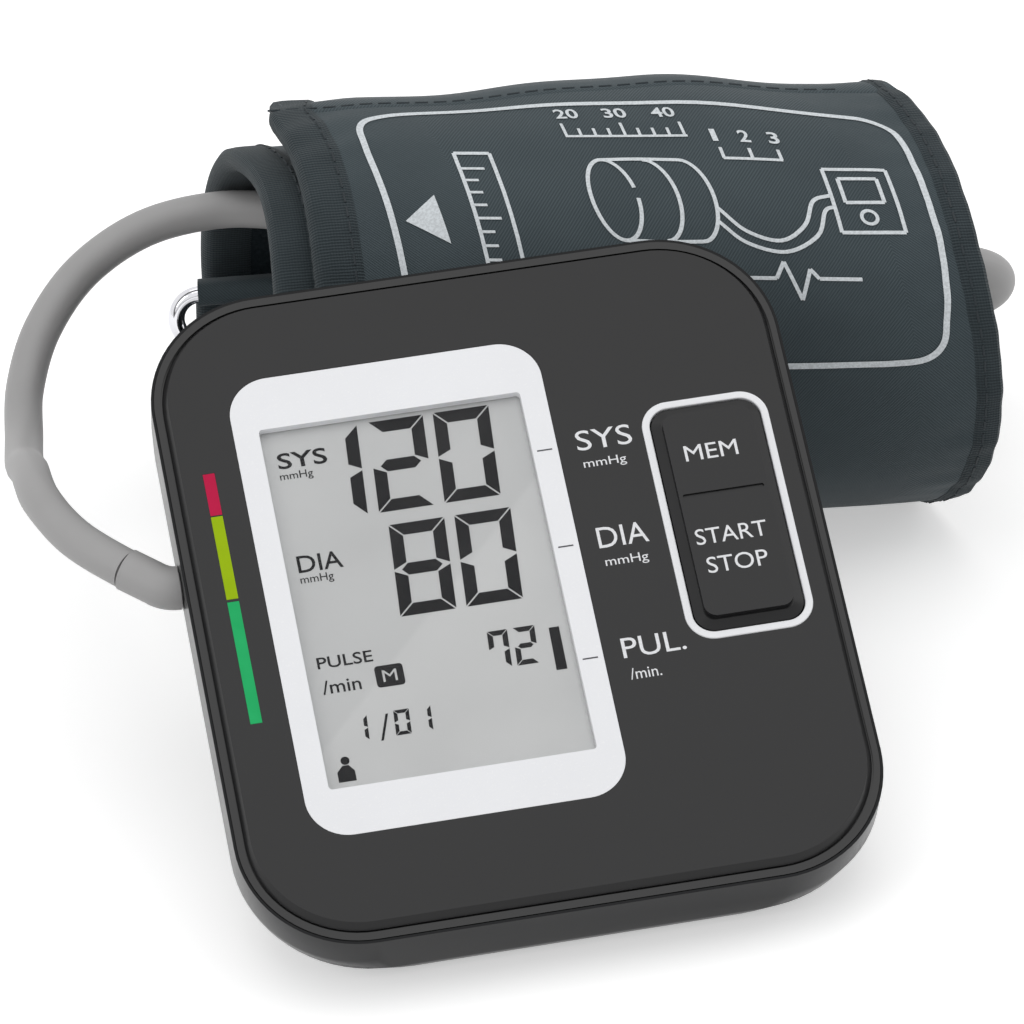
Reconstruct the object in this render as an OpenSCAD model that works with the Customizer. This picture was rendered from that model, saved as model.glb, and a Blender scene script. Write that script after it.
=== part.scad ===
// Upper-arm blood pressure monitor propped against its rolled cuff.
// The case is drawn flat in its own frame, face up, then tilted back.
// The origin is on the table, under the strip of the case that stands on it.

/* [Case] */
// Width of the case across its face
case_w = 125.6; // [124:0.2:128]
// Length of the case along its face
case_l = 141.4; // [140:0.2:143]
// Angle between the face and the table
case_tilt = 30; // [29:0.5:32]
// Thickness of the moulded walls
wall = 2; // [1.6:0.1:2.2]

/* [Face] */
// Width of the white display frame
frame_w = 62; // [61:0.5:63]
// Length of the white display frame
frame_l = 100; // [99:0.5:101]
// Width of the display window
window_w = 52; // [50:0.5:53]
// Length of the display window
window_l = 78.8; // [77:0.2:79]
// Thickness of the glossy face plate
plate_t = 1.8; // [1.6:0.1:2]

/* [Keys] */
// Outer width of the white key outline
outline_w = 25.3; // [25:0.1:26]
// Outer length of the white key outline
outline_l = 52.6; // [52:0.1:53]
// Height of the key above the face
key_rise = 2.1; // [1.8:0.1:2.4]

/* [Hose] */
// Outer diameter of the air hose
hose_d = 8; // [7:0.5:8.5]

/* [Cuff] */
// Width of the cuff, from binding to binding
cuff_w = 135.5; // [134:0.5:136]
// Radius of the roll at its free end
roll_r = 43.5; // [43:0.1:44]
// How much the radius drops in one turn
roll_pitch = 5.5; // [5.2:0.1:6]
// Thickness of the cuff with its bladder empty
cuff_t = 4.4; // [4:0.1:4.4]

/* [Hidden] */

$fn = 64;
slot = 0.1;
eps = 0.01;

// Outline of the case at each depth: how far in, how deep, corner radius
case_profile = [
    [0, 10, 23.5], [0, 14.5, 26.5], [0.9, 17.7, 30],
    [3, 20.8, 32.5], [7.5, 23.6, 34], [12.5, 26.5, 34.5]
];
case_depth = 26.5;
stand_cut = 0.4;
floor_t = 1.8;
case_low = min([for (p = case_profile) -(case_l / 2 - p[0]) * sin(case_tilt) - p[1] * cos(case_tilt)]);
case_z = -case_low - stand_cut;
stand_y = case_l / 2 - 10;
stand_z = -24.6;
case_y = stand_y * cos(case_tilt) + stand_z * sin(case_tilt);

// Steps of the rim, from the case wall in to the face
rim_in = 0.6;
ledge_w = 1.2;
ledge_end = 1.55;
groove_w = 0.35;
groove_deep = 0.6;
bevel_w = 1.05;
ledge_w_full = case_w - 2 * rim_in;
ledge_l_full = case_l - 2 * rim_in - 0.1;
plate_w = ledge_w_full - 2 * ledge_w - 2 * groove_w;
plate_l = ledge_l_full - 2 * ledge_end - 2 * groove_w;
plate_r = 21.5;
deck_t = 1.6;
deck_low = plate_t + deck_t;
skirt_low = 8;

// Display, in the case frame
frame_x = -17.05;
frame_y = 1.2;
frame_r = 8.25;
window_y = 0.55;
lcd_w = 56.4;
lcd_l = 84;
holder_w = 60;
holder_l = 84.6;
holder_hole_w = 50;
holder_hole_l = 76;
lcd_top = 2;
glass_t = 1.1;
lcd_low = 4.2;
board_top = 7.4;
board_t = 1.6;

// Level scale beside the display: centre of each colour block and its length
scale_x = -54.25;
scale_w = 2.4;
scale_t = 0.2;
scale_blocks = [[27.4, 9.3], [13.4, 18.3], [-9.5, 26.5]];

// Key, in the case frame
key_x = 43.7;
key_y = 6.55;
outline_r = 5.6;
outline_t = 1.55;
outline_rise = 0.25;
key_w = outline_w - 2 * outline_t - 0.5;
key_l = outline_l - 2 * outline_t - 0.5;
key_top_w = 17.7;
key_top_l = 44.7;
pivot_y = 10.6;
pivot_z = -4.4;
pin_r = 1;
pin_play = 0.05;

// Inside of the case
bay_y = -22.5;
bay_w = 57;
bay_l = 58.6;
bay_side = 4.5;
bay_end = 2.5;
cover_w = 62.4;
cover_l = 60.6;
bay_roof = 9.9;
cell_r = 7.1;
cell_l = 48.5;
cell_pitch = 14.5;
cell_z = -17.4;
boss_spots = [[-37, -46.5], [37, -46.5], [-37, 46.5], [37, 46.5]];
post_spots = [[-51, -30], [51, -30], [-25, 52], [25, 52]];
foot_spots = [[-42, -28], [42, -28], [-24, 51], [24, 51]];
port_y = 14;
port_z = -11;

// Roll of the cuff: centre, yaw and how its layers lie
roll_c = [35, 147.4, roll_r - roll_pitch * 202 / 360 + cuff_t / 2 - 0.5];
roll_yaw = -8;
free_angle = 112;
inner_angle = -530;
hem_angle = 106;
seam_angle = -524;
roll_shear = tan(22);
roll_drift = 7;
flap_lift = 3;
waist_side = 9.5;
waist_back = 11;
inner_taper = 3.5;
right_swell = 0.16;
binding_w = 4;
cloth_t = 0.9;
station = 6;

// Air plug: where its elbow turns and which way the hose leaves it
plug_gap = 0.3;
plug_bend = 6;
plug_turn = 42;
plug_r = 4.3;
plug_leg = 7;
plug_rise = 20;

// Loop of the hose in the air and along the roll, from plug to elbow
hose_route = [
    [-81, 75.3, 53], [-85.7, 90.3, 53.2], [-86.2, 108.5, 48.8], [-86.1, 124.5, 41],
    [-84.5, 142.1, 36.3], [-82.1, 158.4, 38.2], [-76.2, 171.3, 44.2], [-65.9, 180.4, 51.3],
    [-51.8, 184.8, 56.8], [-36.1, 184.5, 58.9], [-22, 179.5, 59.1], [-7.7, 174, 58.1],
    [6, 170.6, 55.5], [19.5, 165.5, 52], [33.5, 161, 47.5], [47.5, 157, 43],
    [62, 156.5, 41], [76, 155, 40]
];
hose_sides = 12;
hose_steps = 3;
elbow_angle = -505;
elbow_stub = 42.9;
elbow_bend = 11;
elbow_turn = 129.3;
elbow_r = 4.5;
elbow_neck = 10;
elbow_out = 76.5;
elbow_end = 56;

// Ring at the inner end of the cuff
keeper_w = 28;
keeper_h = -4;
keeper_r = 3;
wire_r = 1.8;
ring_span = 11;
ring_lean = 12;
ring_a = [-86.3, 43];
keeper_in = 5;

// Places on the tilted case
function case_pt(p) = [
    p[0],
    case_y + p[1] * cos(case_tilt) - p[2] * sin(case_tilt),
    case_z + p[1] * sin(case_tilt) + p[2] * cos(case_tilt)
];

// Places on the roll, along its axis, across it and up
function roll_pt(p) = roll_c + [
    p[0] * cos(roll_yaw) - p[1] * sin(roll_yaw),
    p[0] * sin(roll_yaw) + p[1] * cos(roll_yaw),
    p[2]
];

function ease(x) = let(c = min(max(x, 0), 1)) c * c * (3 - 2 * c);
function roll_radius(q) = roll_r - roll_pitch * (free_angle - q) / 360 + flap_lift * ease((q - 30) / 82);
function edge_drift(q) = -roll_drift * (free_angle - q) / 360;

// How far the left edge draws in, the same in every turn
function waist(q) = let(t = q - 360 * floor((q - 20) / 360)) t < 100 ? waist_side * ease((t - 20) / 80)
    : t < 140 ? waist_side + (waist_back - waist_side) * ease((t - 100) / 40)
    : waist_back * (1 - ease((t - 140) / 170));
function edge_of(side, q) = side == 0 ? 0
    : side < 0 ? waist(q) - cuff_w / 2 - 0.25 + inner_taper * ease((-470 - q) / 60)
    : cuff_w / 2 - 0.25 + right_swell * waist(q);

// One point of the cuff: angle, height through its thickness, place along the axis
function cuff_pt(q, rise, along) = let(
    r = roll_radius(q) + rise,
    w = -r * cos(q),
    h = max(r * sin(q), -roll_c[2])
) [along + edge_drift(q) - w * roll_shear, w, h];

module on_case() {
    translate([0, case_y, case_z]) rotate([case_tilt, 0, 0]) children();
}

module on_roll() {
    translate(roll_c) rotate([0, 0, roll_yaw]) children();
}

// Rectangle with true round corners
module round_rect(w, l, r) {
    square([w - 2 * r, l], center = true);
    square([w, l - 2 * r], center = true);
    for (x = [-1, 1], y = [-1, 1]) {
        translate([x * (w / 2 - r), y * (l / 2 - r)]) circle(r);
    }
}

// Plate from low to high with round corners
module slab(w, l, r, low, high) {
    translate([0, 0, low]) linear_extrude(height = high - low) round_rect(w, l, r);
}

// Plate whose edge slopes in by c over its height
module bevel_plate(w, l, r, h, c) {
    for (x = [-1, 1], y = [-1, 1]) {
        translate([x * (w / 2 - r), y * (l / 2 - r), 0]) cylinder(h = h, r1 = r, r2 = r - c);
    }
    rotate([90, 0, 0]) linear_extrude(height = l - 2 * r, center = true)
        polygon([[-w / 2, 0], [w / 2, 0], [w / 2 - c, h], [c - w / 2, h]]);
    rotate([90, 0, 90]) linear_extrude(height = w - 2 * r, center = true)
        polygon([[-l / 2, 0], [l / 2, 0], [l / 2 - c, h], [c - l / 2, h]]);
}

// Body of the case as one smooth block, shrunk by a wall and lifted by the floor
module case_block(inset, lift, top) {
    hull() {
        for (p = case_profile, x = [-1, 1], y = [-1, 1]) {
            translate([
                x * (case_w / 2 - p[0] - p[2]),
                y * (case_l / 2 - p[0] - p[2]),
                lift - p[1]
            ]) cylinder(h = 0.5, r1 = p[2] - inset, r2 = p[2] - inset - 2, $fn = 72);
        }
        for (x = [-1, 1], y = [-1, 1]) {
            translate([x * (case_w / 2 - 23.5), y * (case_l / 2 - 23.5), top - 0.5])
                cylinder(h = 0.5, r1 = 21.5 - inset, r2 = 23.5 - inset, $fn = 72);
        }
    }
}

// Strip of the rolled cuff between two angles and two rises.
// Each edge is given by the side of the cuff and a distance from it.
module cuff_strip(q0, q1, low, high, left, right) {
    n = ceil((q0 - q1) / station);
    angles = [for (i = [0:n]) q0 + (q1 - q0) * i / n];
    pts = [for (q = angles) each [
        cuff_pt(q, low, edge_of(left[0], q) + left[1]),
        cuff_pt(q, low, edge_of(right[0], q) + right[1]),
        cuff_pt(q, high, edge_of(right[0], q) + right[1]),
        cuff_pt(q, high, edge_of(left[0], q) + left[1])
    ]];
    sides = [for (i = [0:n - 1], k = [0:3]) each let(
        a = 4 * i + k,
        b = 4 * i + (k + 1) % 4,
        c = a + 4,
        d = b + 4
    ) [[a, d, b], [a, c, d]]];
    ends = [[0, 1, 2], [0, 2, 3], [4 * n, 4 * n + 2, 4 * n + 1], [4 * n, 4 * n + 3, 4 * n + 2]];
    polyhedron(points = pts, faces = concat(sides, ends));
}

// Places where plug and elbow hand over to the hose
plug_pt = case_pt([-case_w / 2, port_y, port_z]);
plug_side = [0, cos(plug_rise), sin(plug_rise)];
plug_dir = [-cos(plug_turn), 0, 0] + sin(plug_turn) * plug_side;
hose_start = plug_pt - [plug_gap + plug_bend * sin(plug_turn), 0, 0]
    + plug_bend * (1 - cos(plug_turn)) * plug_side + plug_leg * plug_dir;
roll_dir = [cos(roll_yaw), sin(roll_yaw), 0];
elbow_w = -roll_radius(elbow_angle) * cos(elbow_angle);
elbow_h = roll_radius(elbow_angle) * sin(elbow_angle);
hose_end = roll_pt([
    elbow_end,
    elbow_w + 2 * elbow_bend * cos(elbow_turn),
    elbow_h + 2 * elbow_bend * sin(elbow_turn)
]);

function unit(v) = v / norm(v);
function spline(a, b, c, d, u) = 0.5 * (
    2 * b + (c - a) * u + (2 * a - 5 * b + 4 * c - d) * u * u
    + (3 * b - a - 3 * c + d) * u * u * u
);
hose_knots = concat(
    [hose_start - 12 * plug_dir, hose_start], hose_route,
    [hose_end - 13 * roll_dir, hose_end, hose_end + 13 * roll_dir]
);
hose_last = len(hose_knots) - 2;
hose_path = concat(
    [for (i = [1:hose_last - 1], k = [0:hose_steps - 1]) spline(
        hose_knots[i - 1], hose_knots[i], hose_knots[i + 1], hose_knots[i + 2], k / hose_steps
    )],
    [hose_end]
);
hose_rings = len(hose_path);
function hose_way(i) = i == 0 ? plug_dir
    : i == hose_rings - 1 ? roll_dir
    : unit(hose_path[i + 1] - hose_path[i - 1]);

// Fold-over strip section through the cuff, as places across and up
function roll_spot(q, r) = [-r * cos(q), r * sin(q)];

module face_plate() {
    color([0.2, 0.2, 0.2]) on_case() difference() {
        translate([0, 0, -plate_t]) bevel_plate(plate_w, plate_l, plate_r, plate_t, bevel_w);
        translate([frame_x, frame_y, 0])
            slab(frame_w + 2 * slot, frame_l + 2 * slot, frame_r + slot, -3, 1);
        translate([key_x, key_y, 0])
            slab(outline_w + slot, outline_l + slot, outline_r + slot / 2, -3, 1);
        for (b = scale_blocks) {
            translate([scale_x - scale_w / 2, b[0] - b[1] / 2, -scale_t]) cube([scale_w, b[1], 1]);
        }
    }
}

module level_scale() {
    color([0.5, 0.65, 0.2]) on_case() {
        for (b = scale_blocks) {
            translate([scale_x - scale_w / 2 + 0.05, b[0] - b[1] / 2 + 0.05, -scale_t])
                cube([scale_w - 0.1, b[1] - 0.1, scale_t]);
        }
    }
}

module key_outline() {
    color([0.92, 0.92, 0.94]) on_case() translate([key_x, key_y, 0]) difference() {
        slab(outline_w, outline_l, outline_r, -plate_t, outline_rise);
        slab(outline_w - 2 * outline_t, outline_l - 2 * outline_t, outline_r - outline_t, -3, 1);
    }
}

module display_frame() {
    color([0.92, 0.92, 0.94]) on_case() difference() {
        translate([frame_x, frame_y, 0]) slab(frame_w, frame_l, frame_r, -plate_t, -0.05);
        translate([frame_x, window_y, 0]) slab(window_w, window_l, 0.8, -3, 1);
    }
}

module display_lens() {
    color([0.85, 0.87, 0.87]) on_case() translate([frame_x, window_y, 0])
        slab(window_w - 2 * slot, window_l - 2 * slot, 0.7, -lcd_top, -0.4);
}

module lcd_panel() {
    color([0.7, 0.72, 0.72]) on_case() translate([frame_x, window_y, 0]) {
        translate([-lcd_w / 2, -lcd_l / 2, -lcd_low]) cube([lcd_w, lcd_l, glass_t]);
        translate([-lcd_w / 2, 2 - lcd_l / 2, -lcd_low + glass_t - eps])
            cube([lcd_w, lcd_l - 4, glass_t + eps]);
    }
}

module lcd_holder() {
    color([0.85, 0.85, 0.85]) on_case() translate([frame_x, window_y, 0]) difference() {
        slab(holder_w, holder_l, 2, -board_top, -lcd_low);
        slab(holder_hole_w, holder_hole_l, 1, -board_top - 1, 0);
    }
}

module contact_strips() {
    color([0.3, 0.3, 0.32]) on_case() {
        for (s = [-1, 1]) {
            translate([frame_x - 24, window_y + s * 36.5 - 1, -board_top])
                cube([48, 2, board_top - lcd_low]);
        }
    }
}

module upper_shell() {
    color([0.1, 0.1, 0.11]) on_case() difference() {
        union() {
            slab(ledge_w_full, ledge_l_full, 23, -deck_low, -plate_t);
            difference() {
                slab(case_w - 2 * wall - 0.4, case_l - 2 * wall - 0.4, 21.3, -skirt_low, -deck_low + 0.2);
                slab(case_w - 2 * wall - 3.2, case_l - 2 * wall - 3.2, 19.9, -skirt_low - 1, -deck_low);
            }
            for (p = boss_spots) {
                translate([p[0], p[1], -14]) cylinder(h = 14 - deck_low + 0.2, r = 3);
            }
            for (p = post_spots) {
                translate([p[0], p[1], -board_top]) cylinder(h = board_top - deck_low + 0.2, r = 2.5);
            }
            for (s = [-1, 1]) {
                translate([key_x + s * 11.4 - 1, pivot_y - 2, pivot_z - 1.8])
                    cube([2, 4, -pivot_z + 1.8 - deck_low + 0.2]);
            }
        }
        translate([frame_x, window_y, 0]) slab(lcd_w + 0.6, lcd_l + 1, 1, -deck_low - 0.1, 0);
        translate([key_x, key_y, 0]) slab(22.4, 49.7, 4.3, -deck_low - eps, 0);
        difference() {
            slab(plate_w + 2 * groove_w, plate_l + 2 * groove_w, plate_r + groove_w,
                -plate_t - groove_deep, 0);
            slab(plate_w, plate_l, plate_r, -plate_t - 2, 1);
        }
        for (p = boss_spots) {
            translate([p[0], p[1], -15]) cylinder(h = 10.6, r = 1.25);
        }
        for (p = post_spots) {
            translate([p[0], p[1], -board_top - 1]) cylinder(h = 4.2, r = 1.05);
        }
        for (s = [-1, 1]) {
            translate([key_x + s * 11.4, pivot_y, pivot_z]) rotate([0, 90, 0])
                cylinder(h = 4, r = pin_r + pin_play, center = true);
            translate([s * 60 - 2.5, port_y - 6.5, -9]) cube([5, 13, 5.2]);
        }
    }
}

module lower_shell() {
    color([0.12, 0.13, 0.14]) difference() {
        on_case() difference() {
            union() {
                difference() {
                    case_block(0, 0, -2);
                    case_block(wall, floor_t, 1);
                    slab(ledge_w_full + 2 * slot, ledge_l_full + 2 * slot, 23 + slot, -deck_low, 1);
                }
                translate([-bay_w / 2 - bay_side, bay_y - bay_l / 2 - bay_end, -25])
                    cube([bay_w + 2 * bay_side, bay_l + 2 * bay_end, 15.9]);
                for (p = boss_spots) {
                    translate([p[0], p[1], -25.5]) cylinder(h = 11.4, r = 4.2);
                }
                for (x = [-28, -14]) {
                    translate([x, 33, -25]) cube([2, 10, 4]);
                }
                translate([17, 22, -25]) cube([12, 16, 3.3]);
            }
            translate([-bay_w / 2, bay_y - bay_l / 2, -30]) cube([bay_w, bay_l, 30 - bay_roof]);
            translate([-cover_w / 2 - 0.2, bay_y - cover_l / 2 - 0.2, -30])
                cube([cover_w + 0.4, cover_l + 0.4, 30 - case_depth + floor_t]);
            for (s = [-1, 1]) {
                translate([s * 17 - 5.3, bay_y - bay_l / 2 - bay_end - 1, floor_t - case_depth])
                    cube([10.6, bay_end + 2, 1.5]);
            }
            for (p = boss_spots) {
                translate([p[0], p[1], -30]) cylinder(h = 7.5, r = 3);
                translate([p[0], p[1], -30]) cylinder(h = 17, r = 1.6);
            }
            for (p = foot_spots) {
                translate([p[0], p[1], -30]) cylinder(h = 30 - case_depth + 0.6, r = 4.6);
            }
            translate([-34, 38, -17.2]) rotate([0, 90, 0]) cylinder(h = 24, r = 7.5);
            translate([-case_w / 2 - 1, port_y, port_z]) rotate([0, 90, 0]) cylinder(h = 12, r = 4.6);
            translate([1.9 - case_w / 2, port_y, port_z]) rotate([0, 90, 0]) cylinder(h = 5, r = 5.1);
            translate([case_w / 2 - 9, port_y, port_z]) rotate([0, 90, 0]) cylinder(h = 10, r = 4);
            translate([case_w / 2 - 6.9, port_y, port_z]) rotate([0, 90, 0]) cylinder(h = 5, r = 4.85);
        }
        translate([-100, -60, -20]) cube([200, 120, 20]);
    }
}

module rocker_key() {
    color([0.2, 0.2, 0.2]) on_case() difference() {
        union() {
            translate([key_x, key_y, 0]) {
                slab(key_top_w, key_top_l, 2.5, 0.7, key_rise);
                bevel_plate(key_w, key_l, 4, 0.8, 1.9);
                slab(key_w, key_l, 4, -1.2, eps);
                slab(19, 45, 2.5, -3.2, -1);
            }
            translate([key_x - 10, pivot_y - 2.5, pivot_z - 1]) cube([20, 5, 2.4]);
            translate([key_x, pivot_y, pivot_z]) rotate([0, 90, 0])
                cylinder(h = 24.4, r = pin_r, center = true);
            for (y = [-18, 14]) {
                translate([key_x, pivot_y + y, -5.3]) cylinder(h = 2.3, r = 2);
            }
        }
        translate([key_x, pivot_y, key_rise - 0.4]) {
            translate([-7.65, -0.45, 0]) cube([15.3, 0.9, 1]);
            for (s = [-1, 1]) {
                translate([s * 7.65, 0, 0]) cylinder(h = 1, r = 0.45, $fn = 24);
            }
        }
    }
}

module key_mat() {
    color([0.75, 0.76, 0.78]) on_case() {
        translate([key_x, key_y, 0]) slab(19, 45, 3, -board_top, -6.7);
        for (y = [-18, 14]) {
            translate([key_x, pivot_y + y, -6.7 - eps]) cylinder(h = 0.95 + eps, r1 = 4, r2 = 2.6);
        }
    }
}

module circuit_board() {
    color([0.1, 0.35, 0.2]) on_case() difference() {
        slab(108, 112, 3, -board_top - board_t, -board_top);
        for (p = boss_spots) {
            translate([p[0], p[1], -15]) cylinder(h = 10, r = 3.4);
        }
        for (p = post_spots) {
            translate([p[0], p[1], -15]) cylinder(h = 10, r = 1.3);
        }
        translate([-58, port_y - 5, -15]) cube([6.6, 10, 10]);
    }
}

module board_parts() {
    color([0.15, 0.15, 0.16]) on_case() {
        translate([-27, 17, -10.5]) cube([9.6, 9.6, 1.5]);
        translate([-12, 18, -10.2]) cube([6, 8, 1.2]);
        translate([45.5, 38, -15]) cylinder(h = 6, r = 3);
        translate([45.5, 46, -15]) cylinder(h = 6, r = 3);
        translate([20, -40, -board_top]) cube([8, 6, 2]);
        translate([18, 20, -board_top]) cube([10, 4, 1.8]);
        translate([18, 28, -board_top]) cube([4, 8, 1.5]);
    }
}

module pressure_sensor() {
    color([0.85, 0.85, 0.82]) on_case() {
        translate([37, 19.5, -14.9]) cube([10, 10, 5.9]);
        translate([42, 17.9, port_z]) rotate([-90, 0, 0]) cylinder(h = 2, r = 1.9);
    }
}

module buzzer() {
    color([0.08, 0.08, 0.08]) on_case() translate([-44, 30, -13]) difference() {
        cylinder(h = 4, r = 6);
        translate([0, 0, -1]) cylinder(h = 2, r = 1);
    }
}

module air_pump_head() {
    color([0.9, 0.9, 0.88]) on_case() {
        translate([-10, 27, -24.7]) cube([26, 22, 15]);
        translate([0, 23, port_z]) rotate([-90, 0, 0]) cylinder(h = 4.1, r = 1.9);
    }
}

module air_pump_motor() {
    color([0.7, 0.7, 0.72]) on_case() {
        translate([-31, 38, -17.2]) rotate([0, 90, 0]) cylinder(h = 20.9, r = 7.4);
        translate([-32.5, 38, -17.2]) rotate([0, 90, 0]) cylinder(h = 1.6, r = 2.4);
    }
}

module release_valve() {
    color([0.75, 0.75, 0.78]) on_case() {
        translate([17, 22, -21.7]) cube([12, 20, 12]);
        translate([23, 19, port_z]) rotate([-90, 0, 0]) cylinder(h = 3.1, r = 1.5);
    }
}

module air_tubing() {
    color([0.8, 0.8, 0.78]) on_case() difference() {
        union() {
            translate([-52.5, port_y, port_z]) rotate([0, 90, 0]) cylinder(h = 96.5, r = 1.8, $fn = 32);
            translate([0, port_y, port_z]) rotate([-90, 0, 0]) cylinder(h = 9, r = 1.8, $fn = 32);
            translate([23, port_y, port_z]) rotate([-90, 0, 0]) cylinder(h = 5, r = 1.8, $fn = 32);
            translate([42, port_y, port_z]) rotate([-90, 0, 0]) cylinder(h = 3.9, r = 1.8, $fn = 32);
        }
        translate([-53, port_y, port_z]) rotate([0, 90, 0]) cylinder(h = 95, r = 1.1, $fn = 32);
    }
}

module air_socket() {
    color([0.1, 0.1, 0.11]) on_case() translate([-case_w / 2, port_y, port_z]) rotate([0, 90, 0])
        difference() {
            union() {
                cylinder(h = 10.2, r = 4.2);
                cylinder(h = 2, r = 4.5);
                translate([0, 0, 1.9]) cylinder(h = 1, r = 4.95);
            }
            translate([0, 0, -1]) cylinder(h = 10.3, r = 2.98);
            cylinder(h = 12, r = 1);
        }
}

module power_jack() {
    color([0.1, 0.1, 0.11]) on_case() translate([case_w / 2, port_y, port_z]) rotate([0, -90, 0]) {
        difference() {
            union() {
                cylinder(h = 8.4, r = 3.9);
                translate([0, 0, 1.9]) cylinder(h = 1, r = 4.7);
            }
            translate([0, 0, -1]) cylinder(h = 8.4, r = 2.85);
        }
        translate([0, 0, 1]) cylinder(h = 6.5, r = 0.8, $fn = 24);
    }
}

// One dry cell along the bay, its button to the side given
module cell(row, side) {
    color([0.35, 0.36, 0.38]) on_case()
        translate([0, bay_y + (row - 1.5) * cell_pitch, cell_z]) rotate([0, side * 90, 0]) {
            translate([0, 0, bay_w / 2 - 1.4 - cell_l]) cylinder(h = cell_l, r = cell_r);
            translate([0, 0, bay_w / 2 - 1.4 - eps]) cylinder(h = 1 + eps, r = 2.7);
        }
}

module battery_cell_1() cell(0, 1);
module battery_cell_2() cell(1, -1);
module battery_cell_3() cell(2, 1);
module battery_cell_4() cell(3, -1);

module contact_springs() {
    color([0.8, 0.8, 0.78]) on_case() {
        for (i = [0:3]) {
            s = i % 2 == 0 ? -1 : 1;
            x = bay_w / 2;
            translate([0, bay_y + (i - 1.5) * cell_pitch, cell_z - 3]) scale([s, 1, 1])
                linear_extrude(height = 6) difference() {
                    polygon([[x, -5], [x, 5], [x - 0.4, 5], [x - 6.6, 0.6], [x - 6.6, -0.6], [x - 0.4, -5]]);
                    polygon([[x - 0.4, -4.5], [x - 0.4, 4.5], [x - 6.2, 0.4], [x - 6.2, -0.4]]);
                }
        }
    }
}

module contact_plates() {
    color([0.8, 0.8, 0.78]) on_case() {
        for (i = [0:3]) {
            s = i % 2 == 0 ? 1 : -1;
            translate([s * (bay_w / 2 - 0.2) - 0.2, bay_y + (i - 1.5) * cell_pitch - 5, cell_z - 4])
                cube([0.4, 10, 8]);
        }
    }
}

module battery_cover() {
    color([0.12, 0.13, 0.14]) on_case() difference() {
        union() {
            translate([-cover_w / 2, bay_y - cover_l / 2, -case_depth]) cube([cover_w, cover_l, floor_t]);
            for (s = [-1, 1]) {
                translate([s * 17 - 5, bay_y - cover_l / 2 - 1.3, floor_t - case_depth])
                    cube([10, 3.3, 1]);
            }
        }
        translate([0, bay_y + cover_l / 2 - 9, -case_depth - 7.4]) rotate([0, 90, 0])
            cylinder(h = 16, r = 8, center = true);
    }
}

module rubber_feet() {
    color([0.08, 0.08, 0.08]) on_case() {
        for (p = foot_spots) {
            translate([p[0], p[1], -case_depth - 0.8]) cylinder(h = 1.4, r = 4.5);
        }
    }
}

module case_screws() {
    color([0.55, 0.55, 0.58]) on_case() {
        for (p = boss_spots) {
            translate([p[0], p[1], -24.5]) difference() {
                union() {
                    cylinder(h = 2, r = 2.7);
                    cylinder(h = 17, r = 1.2);
                }
                translate([-1.6, -0.35, -1]) cube([3.2, 0.7, 1.9]);
                translate([-0.35, -1.6, -1]) cube([0.7, 3.2, 1.9]);
            }
        }
    }
}

module board_screws() {
    color([0.55, 0.55, 0.58]) on_case() {
        for (p = post_spots) {
            translate([p[0], p[1], -board_top - board_t - 1.4]) difference() {
                union() {
                    cylinder(h = 1.4, r = 2.2);
                    cylinder(h = 6, r = 1);
                }
                translate([-1.3, -0.3, -1]) cube([2.6, 0.6, 1.7]);
                translate([-0.3, -1.3, -1]) cube([0.6, 2.6, 1.7]);
            }
        }
    }
}

module air_plug() {
    color([0.45, 0.46, 0.47]) translate(plug_pt - [plug_gap, 0, 0]) {
        translate([-0.5, 0, 0]) rotate([0, 90, 0]) cylinder(h = plug_gap + 9.5, r = 2.9);
        rotate([plug_rise, 0, 0]) {
            translate([0, plug_bend, 0]) rotate([0, 0, 270 - plug_turn])
                rotate_extrude(angle = plug_turn) translate([plug_bend, 0]) circle(plug_r);
            translate([-plug_bend * sin(plug_turn), plug_bend * (1 - cos(plug_turn)), 0])
                rotate([0, 0, 90 - plug_turn]) rotate([-90, 0, 0]) translate([0, 0, -0.5])
                    cylinder(h = plug_leg + 0.5, r = plug_r - 0.05);
        }
    }
}

module air_hose() {
    pts = [for (i = [0:hose_rings - 1]) let(
        t = hose_way(i),
        u = unit(cross(t, [0, 0, 1])),
        v = cross(t, u)
    ) each [for (s = [0:hose_sides - 1]) hose_path[i]
        + hose_d / 2 * (cos(s * 360 / hose_sides) * u + sin(s * 360 / hose_sides) * v)]];
    sides = [for (i = [0:hose_rings - 2], s = [0:hose_sides - 1]) each let(
        a = i * hose_sides + s,
        b = i * hose_sides + (s + 1) % hose_sides,
        c = a + hose_sides,
        d = b + hose_sides
    ) [[a, d, b], [a, c, d]]];
    first = [for (s = [0:hose_sides - 1]) s];
    last = [for (s = [hose_sides - 1:-1:0]) (hose_rings - 1) * hose_sides + s];
    color([0.6, 0.6, 0.6]) polyhedron(points = pts, faces = concat(sides, [first, last]));
}

// Inlet of the bladder and the bend that brings the hose back into the roll
module hose_elbow() {
    color([0.45, 0.46, 0.47]) on_roll()
        translate([0, elbow_w, elbow_h]) rotate([elbow_turn, 0, 0]) {
            translate([elbow_stub - 8, 0, 0]) rotate([0, 90, 0]) cylinder(h = 9, r = 1.2, $fn = 32);
            translate([elbow_stub, 0, 0]) rotate([0, 90, 0]) cylinder(h = elbow_neck + 1, r = 1.9);
            translate([elbow_stub + elbow_neck, 0, 0]) rotate([0, 90, 0])
                cylinder(h = elbow_out - elbow_stub - elbow_neck, r = elbow_r);
            translate([elbow_out, elbow_bend, 0]) rotate([0, 0, -90]) rotate_extrude(angle = 180)
                translate([elbow_bend, 0]) circle(elbow_r);
            translate([elbow_end, 2 * elbow_bend, 0]) rotate([0, 90, 0])
                cylinder(h = elbow_out - elbow_end, r = elbow_r);
        }
}

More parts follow.
